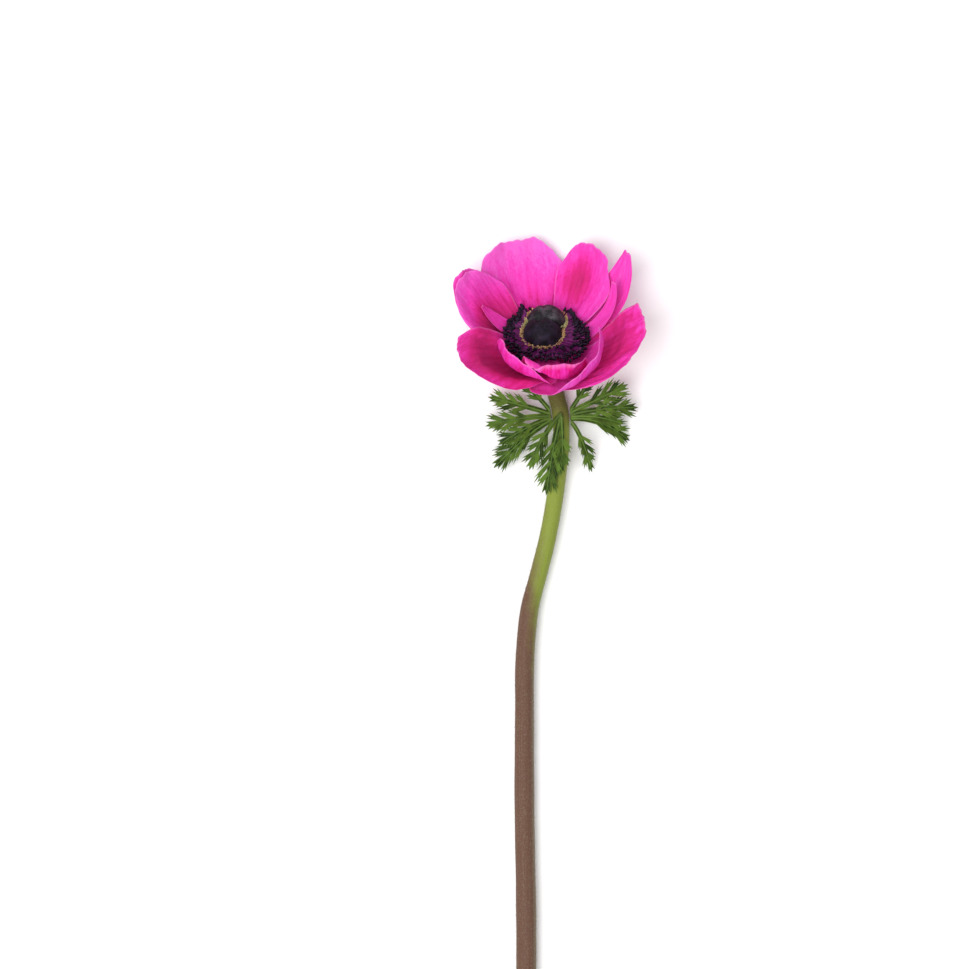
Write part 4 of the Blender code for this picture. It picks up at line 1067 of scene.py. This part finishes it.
def divisionGrids(foot, knee, tip, reach, pairs, facing):
    # the blade along the bent rib with its end lobe, the rib's ridge, and the side lobes in pairs
    c = leafShape

    def ribAt(t):
        line = np.asarray(t)[:, None]
        point = (1 - line) ** 2 * foot + 2 * line * (1 - line) * knee + line ** 2 * tip
        ahead = unit((1 - line) * (knee - foot) + line * (tip - knee))
        face = unit(facing - ahead * (ahead @ facing)[:, None])
        return point, ahead, face, np.cross(ahead, face)

    w = np.linspace(-1.0, 1.0, c["columns"] + 1)[None]
    u = np.linspace(0.0, 1.0, c["lobeRows"])[:, None]
    last = c["span"][1]
    t = np.linspace(0.0, last, c["ribRows"])
    rib, ahead, face, side = (each[:, None] for each in ribAt(t))
    aside = w * bladeHalf(reach, t)[:, None]
    raised = c["fold"] * np.abs(aside) - c["sunk"]
    stalk = rib + aside[..., None] * side + raised[..., None] * face
    start, axes = rib[-1, 0], (ahead[-1, 0], -side[-1, 0], face[-1, 0])
    end = lobeGrid(start, axes, 0.0, np.linalg.norm(tip - start), bladeHalf(reach, last) / c["lobeFoot"],
                   0.0, u[1:], w)
    end = end - (c["sunk"] * (1.0 - smoothStep(0.0, 0.4, u[1:])))[..., None] * face[-1, 0]
    grids = [np.concatenate([stalk, end])]

    t = np.linspace(0.0, 0.97, c["ribRows"])
    line, ahead, face, side = (each[:, None] for each in ribAt(t))
    over = np.linspace(-1.0, 1.0, c["ridgeColumns"] + 1)[None]
    girth = (c["ridge"] * (1.0 - 0.8 * t) * (1.0 + 1.6 * np.exp(-t * 9.0)))[:, None]
    grids.append(line + (over * girth)[..., None] * side
                 + (0.16 + girth * (0.9 - over ** 2))[..., None] * face)

    nodes, ahead, face, side = ribAt(np.linspace(*c["span"], pairs + 1))
    for k in range(pairs):
        half = c["fill"] * np.linalg.norm(nodes[k + 1] - nodes[k]) * math.sin(c["angle"])
        middle = (nodes[k] + nodes[k + 1]) / 2.0
        for hand in (-1, 1):
            sway = c["sway"] * math.cos(2.4 * (k + 1) + 2.0 * hand)
            lobe = lobeGrid(middle, (ahead[k], hand * side[k], face[k]), c["angle"],
                            lobeLong(reach, k, pairs, hand), half, sway, u, w)
            grids.append(lobe[:, ::-hand])
    return grids


def clearOfStem(points, middle, radii):
    # points too near the stem moved straight away from its middle line
    starts, run = middle[:-1], middle[1:] - middle[:-1]
    share = np.einsum("pik,ik->pi", points[:, None] - starts, run) / np.sum(run ** 2, axis=1)
    share = np.clip(share, 0.0, 1.0)
    away = points[:, None] - (starts + share[..., None] * run)
    distance = np.linalg.norm(away, axis=2)
    room = bloom["seatGap"] + leafShape["solid"] / 2.0 + leafShape["room"]
    least = radii[:-1] + share * (radii[1:] - radii[:-1]) + room
    pick = np.arange(len(points)), np.argmin(distance - least, axis=1)
    short = np.maximum(least[pick] - distance[pick], 0.0)
    return points + away[pick] / distance[pick][:, None] * short[:, None]


def makeLeaves(material):
    # each leaf is one mesh of all its divisions' grids, each made a blade that thins to its edge
    c = leafShape
    centre = np.array(c["place"]) + [*bloomCentre[:2], 0.0]
    middle, radii = stemMiddle()
    near = middle[:, 1] > centre[1] - 60.0
    middle, radii = middle[near][::4], radii[near][::4]
    draw = np.random.default_rng(c["draw"])
    for name, (outward, off, divisions) in leafList.items():
        foot = centre + np.array(outward) * off
        points, faces, uvs, fields = [], [], [], {"backFace": [], "shade": []}
        total = 0
        for order, (knee, tip, reach, pairs, facing) in enumerate(divisions):
            start = foot + np.array(c["footStep"]) * (order - (len(divisions) - 1) / 2.0)
            grids = divisionGrids(start, centre + knee, centre + tip, reach, pairs, np.array(facing))
            for number, grid in enumerate(grids):
                rows, columns, _ = grid.shape
                flat = grid.reshape(-1, 3)
                flat[:, 2] = np.maximum(flat[:, 2], c["solid"] / 2.0)
                grid = clearOfStem(flat, middle, radii).reshape(grid.shape)
                u, w = bladePlaces(rows, columns)
                edge = np.minimum(1.0 - np.abs(w), 2.5 * (1.0 - u)) * 1.8
                both = blade(grid, c, edge, 1.5)
                points.append(both)
                faces += (bladeFaces(rows, columns) + total).tolist()
                onRidge = number == 1           # coloured as a rib all over
                uv, backFace = bladeMap(u, w * (not onRidge))
                uvs.append(uv)
                fields["backFace"].append(backFace)
                fields["shade"].append(np.full(len(both), draw.random()))
                total += len(both)
        fields = {key: np.concatenate(each) for key, each in fields.items()}
        addPiece(name.replace("collar_leaf", "leaf_blade"), np.concatenate(points), faces, name,
                 material, np.concatenate(uvs), fields)
    print("leaves made")


# Camera, light and floor

studio = {
    "pixel": 0.47,                      # millimetres of the bloom's plane in one pixel of the photograph
    "image": 969,
    "bloomAt": (547.0, 342.0),          # where the bloom's centre stands in the photograph
    "height": 1250.0,
    "plane": 25.0,                      # height of the plane that the scale holds for
    "sensor": 36.0,
    "floor": (0.96, 0.96, 0.96), "floorSize": 3.0,      # half its side, in metres
    "world": 0.50,
    "key": {"size": 1.0, "power": 16.0, "from": (-0.50, -0.30, 1.15)},
    "fill": {"size": 1.0, "power": 3.0, "from": (0.4, 0.3, 1.1)},
}


def makeCamera():
    # straight above, so that a pixel measures as in the photograph and the bloom stands at the same place
    c = studio
    middle = c["image"] / 2.0
    x = bloomCentre[0] + (middle - c["bloomAt"][0]) * c["pixel"]
    y = bloomCentre[1] + (c["bloomAt"][1] - middle) * c["pixel"]
    data = bpy.data.cameras.new("camera")
    data.sensor_width = c["sensor"]
    data.lens = c["sensor"] * (c["height"] - c["plane"]) / (c["image"] * c["pixel"])
    data.clip_end = 10.0
    camera = addObject("camera", data)
    camera.location = (x * 0.001, y * 0.001, c["height"] * 0.001)
    bpy.context.scene.camera = camera


def makeLight(name, values, target):
    # a square soft light that looks at the target
    data = bpy.data.lights.new(name, "AREA")
    data.size = values["size"]
    data.energy = values["power"]
    lamp = addObject(name, data)
    lamp.location = np.array(values["from"]) + target
    toward = unit(-np.array(values["from"]))
    lamp.rotation_euler = (math.acos(-toward[2]), 0.0, math.atan2(-toward[0], toward[1]))


def makeStudio():
    # even light from all round, two soft lights and a pale floor
    c = studio
    world = bpy.data.worlds.new("studio")
    bpy.context.scene.world = world
    world.use_nodes = True
    background = world.node_tree.nodes["Background"].inputs
    background["Color"].default_value = (1.0, 1.0, 1.0, 1.0)
    background["Strength"].default_value = c["world"]
    for name in ("key", "fill"):
        makeLight(name, c[name], bloomCentre * 0.001)
    mesh = bpy.data.meshes.new("floor")
    size = c["floorSize"]
    corners = [(-size, -size, 0), (size, -size, 0), (size, size, 0), (-size, size, 0)]
    mesh.from_pydata(corners, [], [(0, 1, 2, 3)])
    material, _, _ = newMaterial("floor", {"Roughness": 0.9, "Base Color": (*c["floor"], 1.0)})
    mesh.materials.append(material)
    floor = addObject("floor", mesh)
    bpy.context.scene.view_settings.view_transform = "Standard"
    print("studio made")


makeCamera()
makeStudio()
makeStem(stemMaterial())
makeLeaves(leafMaterial())
petalPile = makePetals(petalMaterial())
makeStamens(petalPile)
makeSeedHead()
